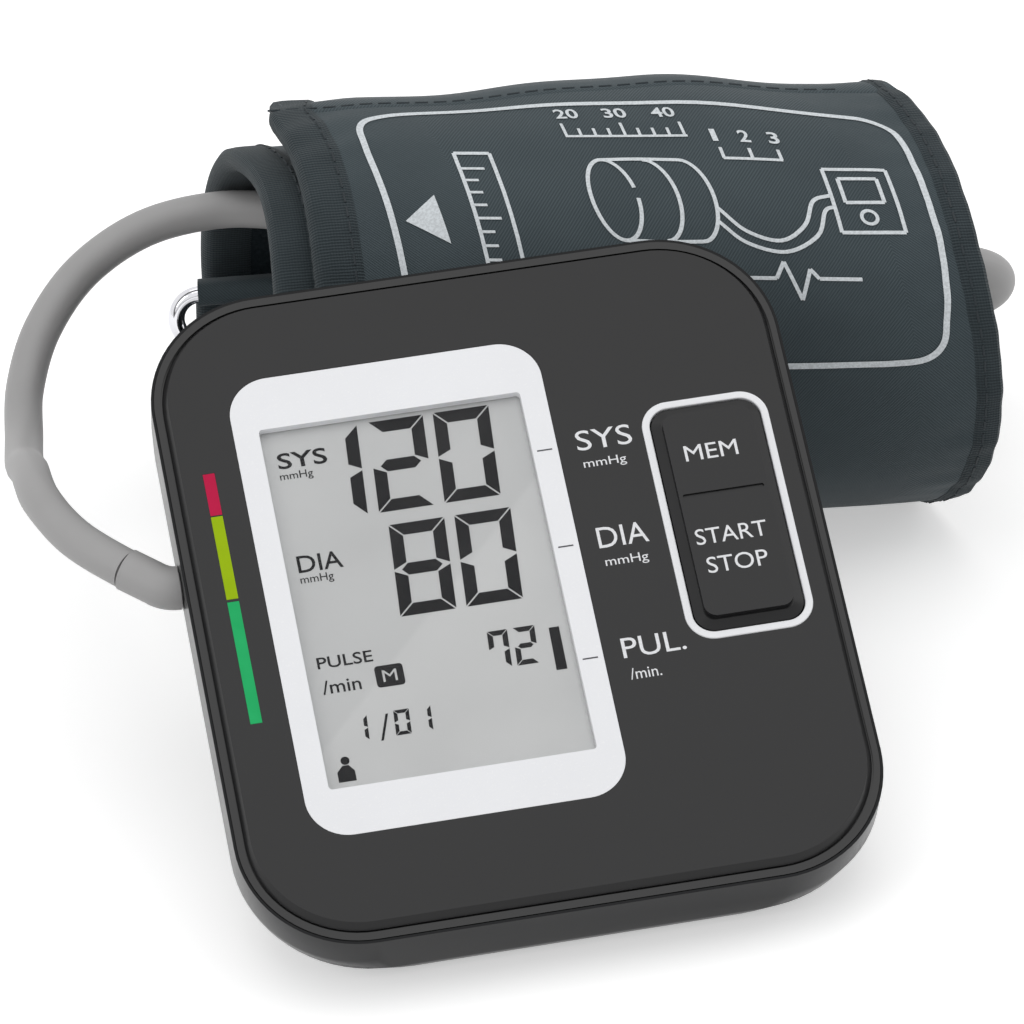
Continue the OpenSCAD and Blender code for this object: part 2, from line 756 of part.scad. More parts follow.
module cuff_cloth() {
    color([0.2, 0.26, 0.28]) on_roll()
        cuff_strip(hem_angle, seam_angle, cuff_t / 2 - cloth_t, cuff_t / 2,
            [-1, binding_w], [1, -binding_w]);
}

module air_bladder() {
    color([0.3, 0.3, 0.3]) on_roll()
        cuff_strip(60, -515, -1, 1, [0, -52], [0, 58]);
}

module cuff_lining() {
    color([0.08, 0.09, 0.1]) on_roll()
        cuff_strip(hem_angle, seam_angle, -cuff_t / 2, cloth_t - cuff_t / 2,
            [-1, binding_w], [1, -binding_w]);
}

module left_binding() {
    color([0.14, 0.18, 0.19]) on_roll()
        cuff_strip(free_angle, inner_angle, -cuff_t / 2 - 0.2, cuff_t / 2 + 0.2, [-1, 0], [-1, binding_w]);
}

module right_binding() {
    color([0.14, 0.18, 0.19]) on_roll()
        cuff_strip(free_angle, inner_angle, -cuff_t / 2 - 0.2, cuff_t / 2 + 0.2, [1, -binding_w], [1, 0]);
}

module end_hem() {
    color([0.18, 0.23, 0.25]) on_roll()
        cuff_strip(free_angle, hem_angle, -cuff_t / 2, cuff_t / 2, [-1, binding_w], [1, -binding_w]);
}

module inner_seam() {
    color([0.18, 0.23, 0.25]) on_roll()
        cuff_strip(seam_angle, inner_angle, -cuff_t / 2, cuff_t / 2, [-1, binding_w], [1, -binding_w]);
}

module ring_keeper() {
    r = roll_radius(inner_angle);
    color([0.14, 0.18, 0.19]) on_roll()
        translate([ring_a[0] + keeper_in, 0, 0]) rotate([90, 0, 90])
            linear_extrude(height = ring_a[1] - ring_a[0] - keeper_in - 7) difference() {
                union() {
                    translate([keeper_w, keeper_h]) circle(keeper_r);
                    polygon([
                        roll_spot(inner_angle, r - 2.2), roll_spot(inner_angle, r + 1.8),
                        [keeper_w + 5.6, keeper_h + 1], [keeper_w + 0.4, keeper_h + keeper_r - 0.05],
                        [keeper_w, keeper_h], [keeper_w - 0.4, keeper_h - keeper_r + 0.05]
                    ]);
                }
                translate([keeper_w, keeper_h]) circle(wire_r + 0.06);
            }
}

module metal_ring() {
    long = ring_a[1] - ring_a[0] - ring_span;
    color([0.8, 0.8, 0.82]) on_roll() translate([(ring_a[0] + ring_a[1]) / 2, keeper_w, keeper_h])
        rotate([-ring_lean, 0, 0]) translate([0, 0, -ring_span / 2]) rotate([90, 0, 0]) {
            for (s = [-1, 1]) {
                translate([0, s * ring_span / 2, 0]) rotate([0, 90, 0])
                    cylinder(h = long + 2 * eps, r = wire_r, center = true, $fn = 40);
                translate([s * long / 2, 0, 0]) rotate([0, 0, -s * 90]) rotate_extrude(angle = 180)
                    translate([ring_span / 2, 0]) circle(wire_r, $fn = 40);
            }
        }
}

face_plate();
level_scale();
key_outline();
display_frame();
display_lens();
lcd_panel();
lcd_holder();
contact_strips();
upper_shell();
lower_shell();
rocker_key();
key_mat();
circuit_board();
board_parts();
pressure_sensor();
buzzer();
air_pump_head();
air_pump_motor();
release_valve();
air_tubing();
air_socket();
power_jack();
battery_cell_1();
battery_cell_2();
battery_cell_3();
battery_cell_4();
contact_springs();
contact_plates();
battery_cover();
rubber_feet();
case_screws();
board_screws();
air_plug();
air_hose();
hose_elbow();
cuff_cloth();
air_bladder();
cuff_lining();
left_binding();
right_binding();
end_hem();
inner_seam();
ring_keeper();
metal_ring();
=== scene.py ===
"""Dress of the tilted arm monitor, its hose and its rolled cuff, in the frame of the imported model."""

import logging
import math
from dataclasses import dataclass, field
from enum import Enum
from typing import Callable, Sequence

import bmesh
import bpy
from mathutils import Matrix, Vector


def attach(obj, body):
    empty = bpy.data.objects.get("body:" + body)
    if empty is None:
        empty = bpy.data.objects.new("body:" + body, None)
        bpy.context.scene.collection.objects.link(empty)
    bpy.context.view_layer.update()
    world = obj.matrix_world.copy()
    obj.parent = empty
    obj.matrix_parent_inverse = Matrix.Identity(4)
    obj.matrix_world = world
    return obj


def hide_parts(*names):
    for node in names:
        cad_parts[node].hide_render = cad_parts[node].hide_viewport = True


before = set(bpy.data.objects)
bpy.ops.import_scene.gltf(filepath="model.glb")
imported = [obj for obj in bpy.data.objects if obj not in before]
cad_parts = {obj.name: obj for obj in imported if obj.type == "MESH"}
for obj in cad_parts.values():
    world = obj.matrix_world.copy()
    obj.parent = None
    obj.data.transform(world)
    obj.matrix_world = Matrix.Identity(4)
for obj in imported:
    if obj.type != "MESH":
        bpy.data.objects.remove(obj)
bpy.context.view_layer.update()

LOG = logging.getLogger("monitor")
MM = 0.001
SHARP = math.radians(32)
WHITE = (1.0, 1.0, 1.0, 1.0)

Pair = tuple[float, float]
Triple = tuple[float, float, float]
Colour = tuple[int, int, int]
Socket = bpy.types.NodeSocket


class Body(Enum):
    """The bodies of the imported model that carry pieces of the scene."""

    CASE = "case"
    KEY = "key"
    CUFF = "cuff"


class Side(Enum):
    """Long edge of the cuff."""

    LEFT = "left"
    RIGHT = "right"


def linear(value: int) -> float:
    """One channel of a screen colour, from 0 to 255, as a linear value."""
    share = value / 255
    return share / 12.92 if share <= 0.04045 else ((share + 0.055) / 1.055) ** 2.4


def tone(red: int, green: int, blue: int) -> tuple[float, float, float, float]:
    """Turns a screen colour into a linear one with full alpha."""
    return linear(red), linear(green), linear(blue), 1.0


def ease(share: float) -> float:
    """Smooth step from 0 to 1, held outside that range."""
    held = min(max(share, 0.0), 1.0)
    return held * held * (3 - 2 * held)


def scaled(colour: Sequence[float], factor: float) -> tuple[float, ...]:
    """A linear colour made lighter or darker."""
    return tuple(min(1.0, part * factor) for part in colour[:3]) + (1.0,)


@dataclass(frozen=True)
class Placement:
    """Where a sub-assembly's own millimetre frame lies in the shared frame."""

    origin: Triple
    yaw: float = 0.0
    tilt: float = 0.0

    def matrix(self) -> Matrix:
        """Matrix from own millimetres to shared metres."""
        turn = Matrix.Rotation(math.radians(self.yaw), 4, "Z")
        lean = Matrix.Rotation(math.radians(self.tilt), 4, "X")
        return Matrix.Scale(MM, 4) @ Matrix.Translation(self.origin) @ turn @ lean


CASE = Placement(origin=(0.0, 40.2677, 51.6497), tilt=30.0)
ROLL = Placement(origin=(35.0, 147.4, 42.11389), yaw=-8.0)
TABLE = Placement(origin=(0.0, 0.0, 0.0))


class Nodes:
    """Typed helper round one node tree."""

    def __init__(self, tree: bpy.types.NodeTree) -> None:
        """Takes over a tree and empties it."""
        self.tree = tree
        tree.nodes.clear()

    def add(self, kind: str, inputs: dict | None = None, **settings: object) -> bpy.types.Node:
        """Adds one node.

        Args:
            kind: Blender's name of the node type.
            inputs: Value or socket for each input, by name or number.
            settings: Properties of the node.

        Returns:
            The new node.
        """
        node = self.tree.nodes.new(kind)
        for key, value in settings.items():
            setattr(node, key, value)
        for key, value in (inputs or {}).items():
            self.feed(node.inputs[key], value)
        return node

    def feed(self, socket: Socket, value: object) -> None:
        """Links a socket to a socket, or sets its value.

        Args:
            socket: The input.
            value: Where it comes from, or what it holds.
        """
        if isinstance(value, bpy.types.NodeSocket):
            self.tree.links.new(value, socket)
        else:
            socket.default_value = value

    def calc(self, operation: str, first: object, second: object = 0.0, third: object = 0.0) -> Socket:
        """One Math node."""
        return self.add("ShaderNodeMath", {0: first, 1: second, 2: third}, operation=operation).outputs[0]

    def span(self, value: Socket, low: float, high: float, first: float, last: float) -> Socket:
        """Maps a value from low and high to first and last, and holds it there."""
        return self.add("ShaderNodeMapRange", {"Value": value, 1: low, 2: high, 3: first, 4: last}).outputs[0]

    def seen(self) -> Socket:
        """1 for rays of the camera, of gloss and of clear parts, which find the studio white."""
        path = self.add("ShaderNodeLightPath").outputs
        either = self.calc("MAXIMUM", path["Is Camera Ray"], path["Is Glossy Ray"])
        return self.calc("MAXIMUM", either, path["Is Transmission Ray"])


class NodeSheet(Nodes):
    """Node tree of one new material with a Principled shader."""

    def __init__(self, name: str) -> None:
        """Makes the material under its name.

        Args:
            name: Name of the material.
        """
        self.material = bpy.data.materials.new(name)
        self.material.use_nodes = True
        super().__init__(self.material.node_tree)
        self.out = self.add("ShaderNodeOutputMaterial")
        self.skin = self.add("ShaderNodeBsdfPrincipled")
        self.feed(self.out.inputs["Surface"], self.skin.outputs["BSDF"])

    def place(self, uv: bool = False) -> Socket:
        """Coordinates in millimetres, of the object or of its UV map."""
        source = self.add("ShaderNodeTexCoord").outputs["UV" if uv else "Object"]
        scale = 1.0 if uv else 1 / MM
        return self.add("ShaderNodeMapping", {"Vector": source, "Scale": (scale, scale, scale)}).outputs[0]

    def noise(self, spot: Socket, pitch: float, detail: float = 3.0) -> Socket:
        """Noise from 0 to 1 whose blotches are about one pitch wide, in millimetres."""
        node = self.add("ShaderNodeTexNoise", {"Vector": spot, "Scale": 1 / pitch, "Detail": detail})
        return node.outputs["Fac"]

    def split(self, spot: Socket) -> Sequence[Socket]:
        """The three parts of a vector."""
        return self.add("ShaderNodeSeparateXYZ", {0: spot}).outputs

    def ripple(self, length: Socket, pitch: float) -> Socket:
        """Sine from 0 to 1 that repeats after each pitch of a length in millimetres."""
        turn = self.calc("MULTIPLY", length, 2 * math.pi / pitch)
        return self.calc("MULTIPLY_ADD", self.calc("SINE", turn), 0.5, 0.5)

    def blend(self, share: Socket, first: object, second: object) -> Socket:
        """Mixes two colours by a share."""
        return self.add("ShaderNodeMix", {0: share, 6: first, 7: second}, data_type="RGBA").outputs[2]

    def bump(self, height: Socket, depth: float) -> None:
        """Raises the skin by a height from 0 to 1 times a depth in millimetres.

        Args:
            height: The height.
            depth: The depth.
        """
        earlier = self.skin.inputs["Normal"].links
        inputs = {"Height": height, "Distance": depth * MM, "Strength": 1.0}
        if earlier:
            inputs["Normal"] = earlier[0].from_socket
        self.feed(self.skin.inputs["Normal"], self.add("ShaderNodeBump", inputs).outputs[0])

    def set(self, **values: object) -> None:
        """Sets inputs of the Principled shader, with underscores for the blanks in their names."""
        for key, value in values.items():
            self.feed(self.skin.inputs[key.replace("_", " ")], value)


@dataclass(frozen=True)
class Finish:
    """One material of the monitor."""

    name: str

    def make(self) -> bpy.types.Material:
        """Builds the material.

        Returns:
            The finished material.
        """
        sheet = NodeSheet(self.name)
        self.paint(sheet)
        return sheet.material

    def paint(self, sheet: NodeSheet) -> None:
        """Fills the shader. Each kind of finish does it in its own way.

        Args:
            sheet: The node tree.
        """
        raise NotImplementedError


@dataclass(frozen=True)
class Moulding(Finish):
    """Moulded plastic, rubber, paint or metal: an even tone with soft blotches and a fine grain."""

    colour: Colour
    roughness: float = 0.35
    shift: float = 0.06
    grain: float = 0.4
    depth: float = 0.004
    metallic: float = 0.0
    specular: float = 0.5
    painted_glint: float = 0.0

    def paint(self, sheet: NodeSheet) -> None:
        """Fills the shader.

        Args:
            sheet: The node tree.
        """
        spot = sheet.place()
        base = tone(*self.colour)
        blotch = sheet.noise(spot, 18.0, 4.0)
        dark, light = scaled(base, 1 - self.shift), scaled(base, 1 + self.shift)
        colour = sheet.blend(sheet.span(blotch, 0.35, 0.65, 0, 1), dark, light)
        # Painted glints: small white flecks mixed into the base colour.
        if self.painted_glint:
            glint_fleck = sheet.span(sheet.noise(spot, 0.35, 1.0), 0.62, 0.72, 0, self.painted_glint)
            colour = sheet.blend(glint_fleck, colour, WHITE)
        sheet.set(
            Base_Color=colour,
            Roughness=sheet.span(blotch, 0.3, 0.7, self.roughness * 0.9, self.roughness * 1.12),
            Metallic=self.metallic,
            Specular_IOR_Level=self.specular,
        )
        sheet.bump(sheet.noise(spot, self.grain, 2.0), self.depth)


@dataclass(frozen=True)
class Twill(Finish):
    """Woven shell cloth of the cuff, with fine diagonal lines that turn near the edges."""

    name: str = "cuff_twill"
    crest: Colour = (72, 84, 89)
    valley: Colour = (46, 56, 60)
    shade: Colour = (30, 40, 46)
    pitch: float = 0.5
    first_turn: float = -30.0
    turn: float = 80.0

    def paint(self, sheet: NodeSheet) -> None:
        """Fills the shader, on the cloth's own flat millimetres.

        Args:
            sheet: The node tree.
        """
        flat = sheet.place(uv=True)
        across, girth, _ = sheet.split(flat)
        wander = sheet.calc("MULTIPLY", sheet.noise(flat, 14.0, 2.0), 0.5)
        folded = sheet.calc("PINGPONG", sheet.calc("SUBTRACT", across, self.first_turn), self.turn)
        diagonal = sheet.calc("ADD", sheet.calc("ADD", folded, girth), wander)
        line = sheet.ripple(diagonal, self.pitch * 1.414)
        thread = sheet.ripple(sheet.calc("SUBTRACT", across, girth), 0.44)
        yarn = sheet.calc("MULTIPLY_ADD", thread, 0.3, sheet.calc("MULTIPLY", line, 0.7))
        cloud = sheet.noise(flat, 22.0, 4.0)
        base = sheet.blend(yarn, tone(*self.valley), tone(*self.crest))
        sheet.set(
            Base_Color=sheet.blend(sheet.span(cloud, 0.3, 0.7, 0.0, 0.28), base, tone(*self.shade)),
            Roughness=sheet.span(yarn, 0, 1, 0.78, 0.6),
            Sheen_Weight=0.12,
            Sheen_Roughness=0.45,
            Specular_IOR_Level=0.3,
        )
        sheet.bump(cloud, 0.25)
        sheet.bump(yarn, 0.07)


@dataclass(frozen=True)
class RibbedTape(Finish):
    """Binding tape with ribs across its width."""

    name: str = "ribbed_tape"
    crest: Colour = (58, 68, 72)
    valley: Colour = (34, 42, 46)
    shade: Colour = (24, 32, 36)
    pitch: float = 0.6

    def paint(self, sheet: NodeSheet) -> None:
        """Fills the shader, on the tape's own flat millimetres.

        Args:
            sheet: The node tree.
        """
        flat = sheet.place(uv=True)
        across, along, _ = sheet.split(flat)
        sway = sheet.calc("MULTIPLY", sheet.noise(flat, 2.5, 2.0), 0.35)
        rib = sheet.ripple(sheet.calc("ADD", along, sway), self.pitch)
        cross = sheet.ripple(across, 0.6)
        yarn = sheet.calc("MULTIPLY_ADD", cross, 0.25, sheet.calc("MULTIPLY", rib, 0.75))
        cloud = sheet.noise(flat, 9.0, 3.0)
        base = sheet.blend(yarn, tone(*self.valley), tone(*self.crest))
        sheet.set(
            Base_Color=sheet.blend(sheet.span(cloud, 0.3, 0.7, 0, 0.3), base, tone(*self.shade)),
            Roughness=sheet.span(yarn, 0, 1, 0.85, 0.68),
            Sheen_Weight=0.1,
            Sheen_Roughness=0.5,
            Specular_IOR_Level=0.25,
        )
        sheet.bump(yarn, 0.12)


@dataclass(frozen=True)
class LoopPile(Finish):
    """Dark brushed loop cloth on the inner side of the cuff."""

    name: str = "loop_pile"

    def paint(self, sheet: NodeSheet) -> None:
        """Fills the shader, on the cloth's own flat millimetres.

        Args:
            sheet: The node tree.
        """
        flat = sheet.place(uv=True)
        loops = sheet.noise(flat, 0.8, 4.0)
        worn = sheet.noise(flat, 12.0, 4.0)
        base = sheet.blend(loops, tone(12, 17, 20), tone(52, 62, 68))
        sheet.set(
            Base_Color=sheet.blend(sheet.span(worn, 0.35, 0.7, 0, 0.5), base, tone(20, 27, 31)),
            Roughness=sheet.span(loops, 0.3, 0.7, 0.97, 0.86),
            Sheen_Weight=0.25,
            Sheen_Roughness=0.35,
            Specular_IOR_Level=0.15,
        )
        sheet.bump(loops, 0.4)


@dataclass(frozen=True)
class Screen(Finish):
    """Grey liquid crystal glass with a painted reflection: a faint diagonal step, darker on one side of the
    line.
    """

    name: str = "screen_glass"

    def paint(self, sheet: NodeSheet) -> None:
        """Fills the shader.

        Args:
            sheet: The node tree.
        """
        spot = sheet.place()
        across, _, up = sheet.split(spot)
        # Painted reflection: the colour steps darker along a diagonal line, standing in for the sheen of the
        # window.
        slope = sheet.calc("SUBTRACT", sheet.calc("MULTIPLY", up, 2.0), across)
        painted_reflection_step = sheet.span(slope, 112.0, 113.5, 0.0, 1.0)
        haze = sheet.noise(spot, 30.0, 2.0)
        base = sheet.blend(sheet.span(haze, 0.3, 0.7, 0, 1), tone(196, 197, 197), tone(205, 206, 206))
        sheet.set(
            Base_Color=sheet.blend(sheet.calc("MULTIPLY", painted_reflection_step, 0.22), base, tone(168, 170, 171)),
            Roughness=sheet.span(haze, 0.3, 0.7, 0.3, 0.36),
            Specular_IOR_Level=0.3,
        )
        sheet.bump(sheet.noise(spot, 0.3, 1.0), 0.002)


@dataclass(frozen=True)
class ClearWindow(Finish):
    """Clear plastic of the display window."""

    name: str = "clear_window"

    def paint(self, sheet: NodeSheet) -> None:
        """Fills the shader.

        Args:
            sheet: The node tree.
        """
        smear = sheet.noise(sheet.place(), 16.0, 3.0)
        sheet.set(
            Base_Color=sheet.blend(smear, (0.5, 0.52, 0.53, 1), (0.6, 0.6, 0.6, 1)),
            Roughness=sheet.span(smear, 0.3, 0.7, 0.04, 0.09),
            Alpha=sheet.span(smear, 0.3, 0.7, 0.01, 0.02),
        )


@dataclass(frozen=True)
class LevelInk(Finish):
    """Colours of the level scale, set by the place along the tilted face."""

    name: str = "level_ink"
    lower_turn: float = 4.0
    upper_turn: float = 22.65

    def paint(self, sheet: NodeSheet) -> None:
        """Fills the shader.

        Args:
            sheet: The node tree.
        """
        spot = sheet.place()
        _, depth, height = sheet.split(spot)
        tilt = math.radians(CASE.tilt)
        rise = sheet.calc("MULTIPLY", sheet.calc("SUBTRACT", height, CASE.origin[2]), math.sin(tilt))
        run = sheet.calc("MULTIPLY", sheet.calc("SUBTRACT", depth, CASE.origin[1]), math.cos(tilt))
        place = sheet.calc("ADD", rise, run)
        upper = sheet.calc("GREATER_THAN", place, self.upper_turn)
        middle = sheet.calc("GREATER_THAN", place, self.lower_turn)
        cloud = sheet.noise(spot, 4.0, 2.0)
        green = sheet.blend(cloud, tone(30, 172, 98), tone(44, 184, 110))
        lime = sheet.blend(cloud, tone(150, 182, 4), tone(164, 194, 14))
        red = sheet.blend(cloud, tone(186, 22, 66), tone(200, 30, 78))
        sheet.set(
            Base_Color=sheet.blend(upper, sheet.blend(middle, green, lime), red),
            Roughness=sheet.span(cloud, 0.3, 0.7, 0.3, 0.36),
            Specular_IOR_Level=0.08,
        )


@dataclass(frozen=True)
class PrintInk(Finish):
    """Printed ink with slightly uneven cover."""

    colour: Colour
    roughness: float = 0.4
    uneven: float = 0.08
    specular: float = 0.4

    def paint(self, sheet: NodeSheet) -> None:
        """Fills the shader.

        Args:
            sheet: The node tree.
        """
        base = tone(*self.colour)
        cover = sheet.noise(sheet.place(), 0.5, 3.0)
        sheet.set(
            Base_Color=sheet.blend(sheet.span(cover, 0.4, 0.6, 0, 1), scaled(base, 1 - self.uneven), base),
            Roughness=sheet.span(cover, 0.3, 0.7, self.roughness, self.roughness + 0.1),
            Specular_IOR_Level=self.specular,
        )
        sheet.bump(cover, 0.004)


PALETTE: dict[str, bpy.types.Material] = {}


def make_finishes() -> None:
    """Makes every finish once and puts it into the palette by its name."""
    for kind in (
        Moulding("gloss_black", (26, 26, 27), 0.2, 0.05, 0.6, 0.0006, specular=0.28),
        Moulding("rim_black", (16, 16, 17), 0.14, 0.05, 0.6, 0.0008, specular=0.4),
        Moulding("shell_black", (17, 18, 20), 0.24, 0.08, 0.5, 0.002, specular=0.14),
        Moulding("key_black", (28, 28, 29), 0.3, 0.05, 0.5, 0.002, specular=0.28),
        # white_gloss carries painted glints: small white flecks in its colour.
        Moulding("white_gloss", (240, 241, 244), 0.22, 0.01, 0.3, 0.001, painted_glint=0.3),
        Moulding("white_plastic", (226, 226, 222), 0.42, 0.03),
        Moulding("dark_rubber", (38, 38, 40), 0.75, 0.1, 0.3, 0.01),
        Moulding("black_plastic", (28, 28, 30), 0.4, 0.08, 0.4, 0.006),
        Moulding("grey_rubber", (176, 178, 182), 0.7, 0.04),
        Moulding("board_green", (24, 88, 52), 0.38, 0.15, 0.8, 0.008),
        Moulding("steel", (186, 186, 188), 0.26, 0.05, 0.3, 0.002, metallic=1.0),
        Moulding("chrome", (228, 228, 232), 0.09, 0.03, 1.2, 0.001, metallic=1.0),
        Moulding("clear_tube", (208, 206, 198), 0.3, 0.04),
        Moulding("cell_can", (72, 76, 84), 0.32, 0.08, 0.6, 0.003, metallic=0.6),
        Moulding("grey_hose", (162, 161, 161), 0.48, 0.035, 0.35, 0.006),
        Moulding("bladder_film", (70, 72, 76), 0.4, 0.1, 0.8, 0.02),
        Moulding("thread", (30, 39, 44), 0.7, 0.1, 0.2, 0.01),
        Twill(),
        RibbedTape(),
        LoopPile(),
        Screen(),
        ClearWindow(),
        LevelInk(),
        PrintInk("white_ink", (236, 237, 240)),
        PrintInk("cuff_ink", (222, 228, 232), 0.6, 0.18),
        PrintInk("screen_ink", (28, 28, 30), 0.6, specular=0.1),
        PrintInk("tick_ink", (70, 70, 74), 0.5),
    ):
        PALETTE[kind.name] = kind.make()


def dress(finish: str, *nodes: str) -> None:
    """Gives CAD nodes one finish.

    Args:
        finish: Name of the finish.
        nodes: Names of the nodes.
    """
    for node in nodes:
        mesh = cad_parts[node].data
        mesh.materials.clear()
        mesh.materials.append(PALETTE[finish])


class Form:
    """One piece in the making: a bmesh in its own millimetre frame."""

    def __init__(self, placement: Placement, bm: bmesh.types.BMesh | None = None) -> None:
        """Starts a form.

        Args:
            placement: Where its frame lies.
            bm: A bmesh to take over, or None for an empty one.
        """
        self.bm = bmesh.new() if bm is None else bm
        self.placement = placement

    def raise_face(self, face: bmesh.types.BMFace, height: float) -> list:
        """Extrudes one face upward.

        Args:
            face: The face.
            height: How far it goes up.

        Returns:
            What has grown.
        """
        grown = bmesh.ops.extrude_face_region(self.bm, geom=[face])["geom"]
        verts = [item for item in grown if isinstance(item, bmesh.types.BMVert)]
        bmesh.ops.translate(self.bm, vec=(0, 0, height), verts=verts)
        return grown

    def slab(self, width: float, length: float, radius: float, low: float, high: float,
             centre: Pair = (0.0, 0.0), edge: float = 0.0, steps: int = 10) -> None:
        """Adds a closed plate with round corners and a rounded top edge.

        Args:
            width: Size along x.
            length: Size along y.
            radius: Radius of the corners.
            low: Height of its underside.
            high: Height of its top.
            centre: Its middle.
            edge: Radius of the top edge.
            steps: Edges per corner.
        """
        made = bmesh.ops.create_grid(self.bm, x_segments=1, y_segments=1, size=0.5)["verts"]
        bmesh.ops.scale(self.bm, vec=(width, length, 1), verts=made)
        bmesh.ops.translate(self.bm, vec=(*centre, low), verts=made)
        face = made[0].link_faces[0]
        if radius > 0:
            self.bevel(list(face.verts), radius, steps, "VERTICES")
            level = [item for item in self.bm.faces if abs(item.calc_center_median().z - low) < 1e-6]
            face = max(level, key=lambda item: len(item.verts))
        grown = self.raise_face(face, high - low)
        if edge > 0:
            top = [item for item in grown if isinstance(item, bmesh.types.BMFace)]
            self.bevel(list(dict.fromkeys(item for face in top for item in face.edges)), edge, 2, "EDGES")
        bmesh.ops.recalc_face_normals(self.bm, faces=self.bm.faces[:])

    def bevel(self, geom: list, radius: float, segments: int, affect: str) -> None:
        """Rounds edges or corners.

        Args:
            geom: The edges or corners.
            radius: Radius of the round.
            segments: Edges across it.
            affect: EDGES or VERTICES.
        """
        bmesh.ops.bevel(
            self.bm, geom=geom, offset=radius, offset_type="OFFSET", segments=segments,
            profile=0.5, affect=affect, material=-1, clamp_overlap=affect == "EDGES",
        )

    def plate(self, corners: Sequence[Pair], low: float, high: float) -> None:
        """Adds a closed plate with a few straight corners, from its underside to its top."""
        self.raise_face(self.bm.faces.new([self.bm.verts.new((x, y, low)) for x, y in corners]), high - low)

    def absorb(self, mesh: bpy.types.Mesh) -> None:
        """Takes in a mesh and deletes it."""
        self.bm.from_mesh(mesh)
        bpy.data.meshes.remove(mesh)

    def finish(self, name: str, body: Body, finish: str, slot: str, replaces: Sequence[str] = (),
               even: bool = True) -> bpy.types.Object:
        """Makes the object, dresses it and lets it ride.

        Args:
            name: Name of the piece.
            body: Body that carries it.
            finish: Its finish.
            slot: Material slot of the record; not used.
            replaces: CAD nodes that it stands for.
            even: Whether its normals are recalculated first.

        Returns:
            The finished object.
        """
        if even:
            bmesh.ops.recalc_face_normals(self.bm, faces=self.bm.faces[:])
        bmesh.ops.transform(self.bm, matrix=self.placement.matrix(), verts=self.bm.verts)
        for face in self.bm.faces:
            face.smooth = True
        for edge in self.bm.edges:
            edge.smooth = len(edge.link_faces) != 2 or edge.calc_face_angle(0.0) < SHARP
        mesh = bpy.data.meshes.new(name)
        self.bm.to_mesh(mesh)
        self.bm.free()
        mesh.materials.append(PALETTE[finish])
        piece = bpy.data.objects.new(name, mesh)
        bpy.context.scene.collection.objects.link(piece)
        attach(piece, body.value)
        if replaces:
            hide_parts(*replaces)
        LOG.info("%s: %d faces on %s", name, len(mesh.polygons), body.value)
        return piece


def smooth_line(knots: Sequence[Vector], steps: int) -> list[Vector]:
    """Runs a smooth curve through knots, of which the first and last only lead it.

    Args:
        knots: Points of the curve.
        steps: Points per stretch.

    Returns:
        Points from the second knot up to the last but one, without that one.
    """
    points = []
    for a, b, c, d in zip(knots, knots[1:], knots[2:], knots[3:]):
        for step in range(steps):
            u = step / steps
            points.append(0.5 * (
                2 * b + (c - a) * u + (2 * a - 5 * b + 4 * c - d) * u * u
                + (3 * b - a - 3 * c + d) * u ** 3
            ))
    return points


def softened(node: str, name: str, body: Body, finish: str, slot: str, edge: float = 0.0) -> None:
    """Copies a CAD node with its triangles merged, its curves shaded smooth and its edges rounded.

    Args:
        node: The CAD node.
        name: Name of the piece.
        body: Body that carries it.
        finish: Its finish.
        slot: Material slot of the record.
        edge: Width of the rounded edges in millimetres.
    """
    form = Form(TABLE)
    form.bm.from_mesh(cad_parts[node].data)
    bmesh.ops.scale(form.bm, vec=(1 / MM, 1 / MM, 1 / MM), verts=form.bm.verts)
    bmesh.ops.remove_doubles(form.bm, verts=form.bm.verts, dist=0.002)
    bmesh.ops.dissolve_limit(
        form.bm, angle_limit=math.radians(0.3), verts=form.bm.verts, edges=form.bm.edges,
    )
    piece = form.finish(name, body, finish, slot, [node])
    if edge:
        rounding = piece.modifiers.new("rounding", "BEVEL")
        rounding.width = edge * MM
        rounding.segments = 2
        rounding.limit_method = "ANGLE"
        rounding.angle_limit = math.radians(40)
    shade = piece.modifiers.new("even_shade", "WEIGHTED_NORMAL")
    shade.keep_sharp = not edge


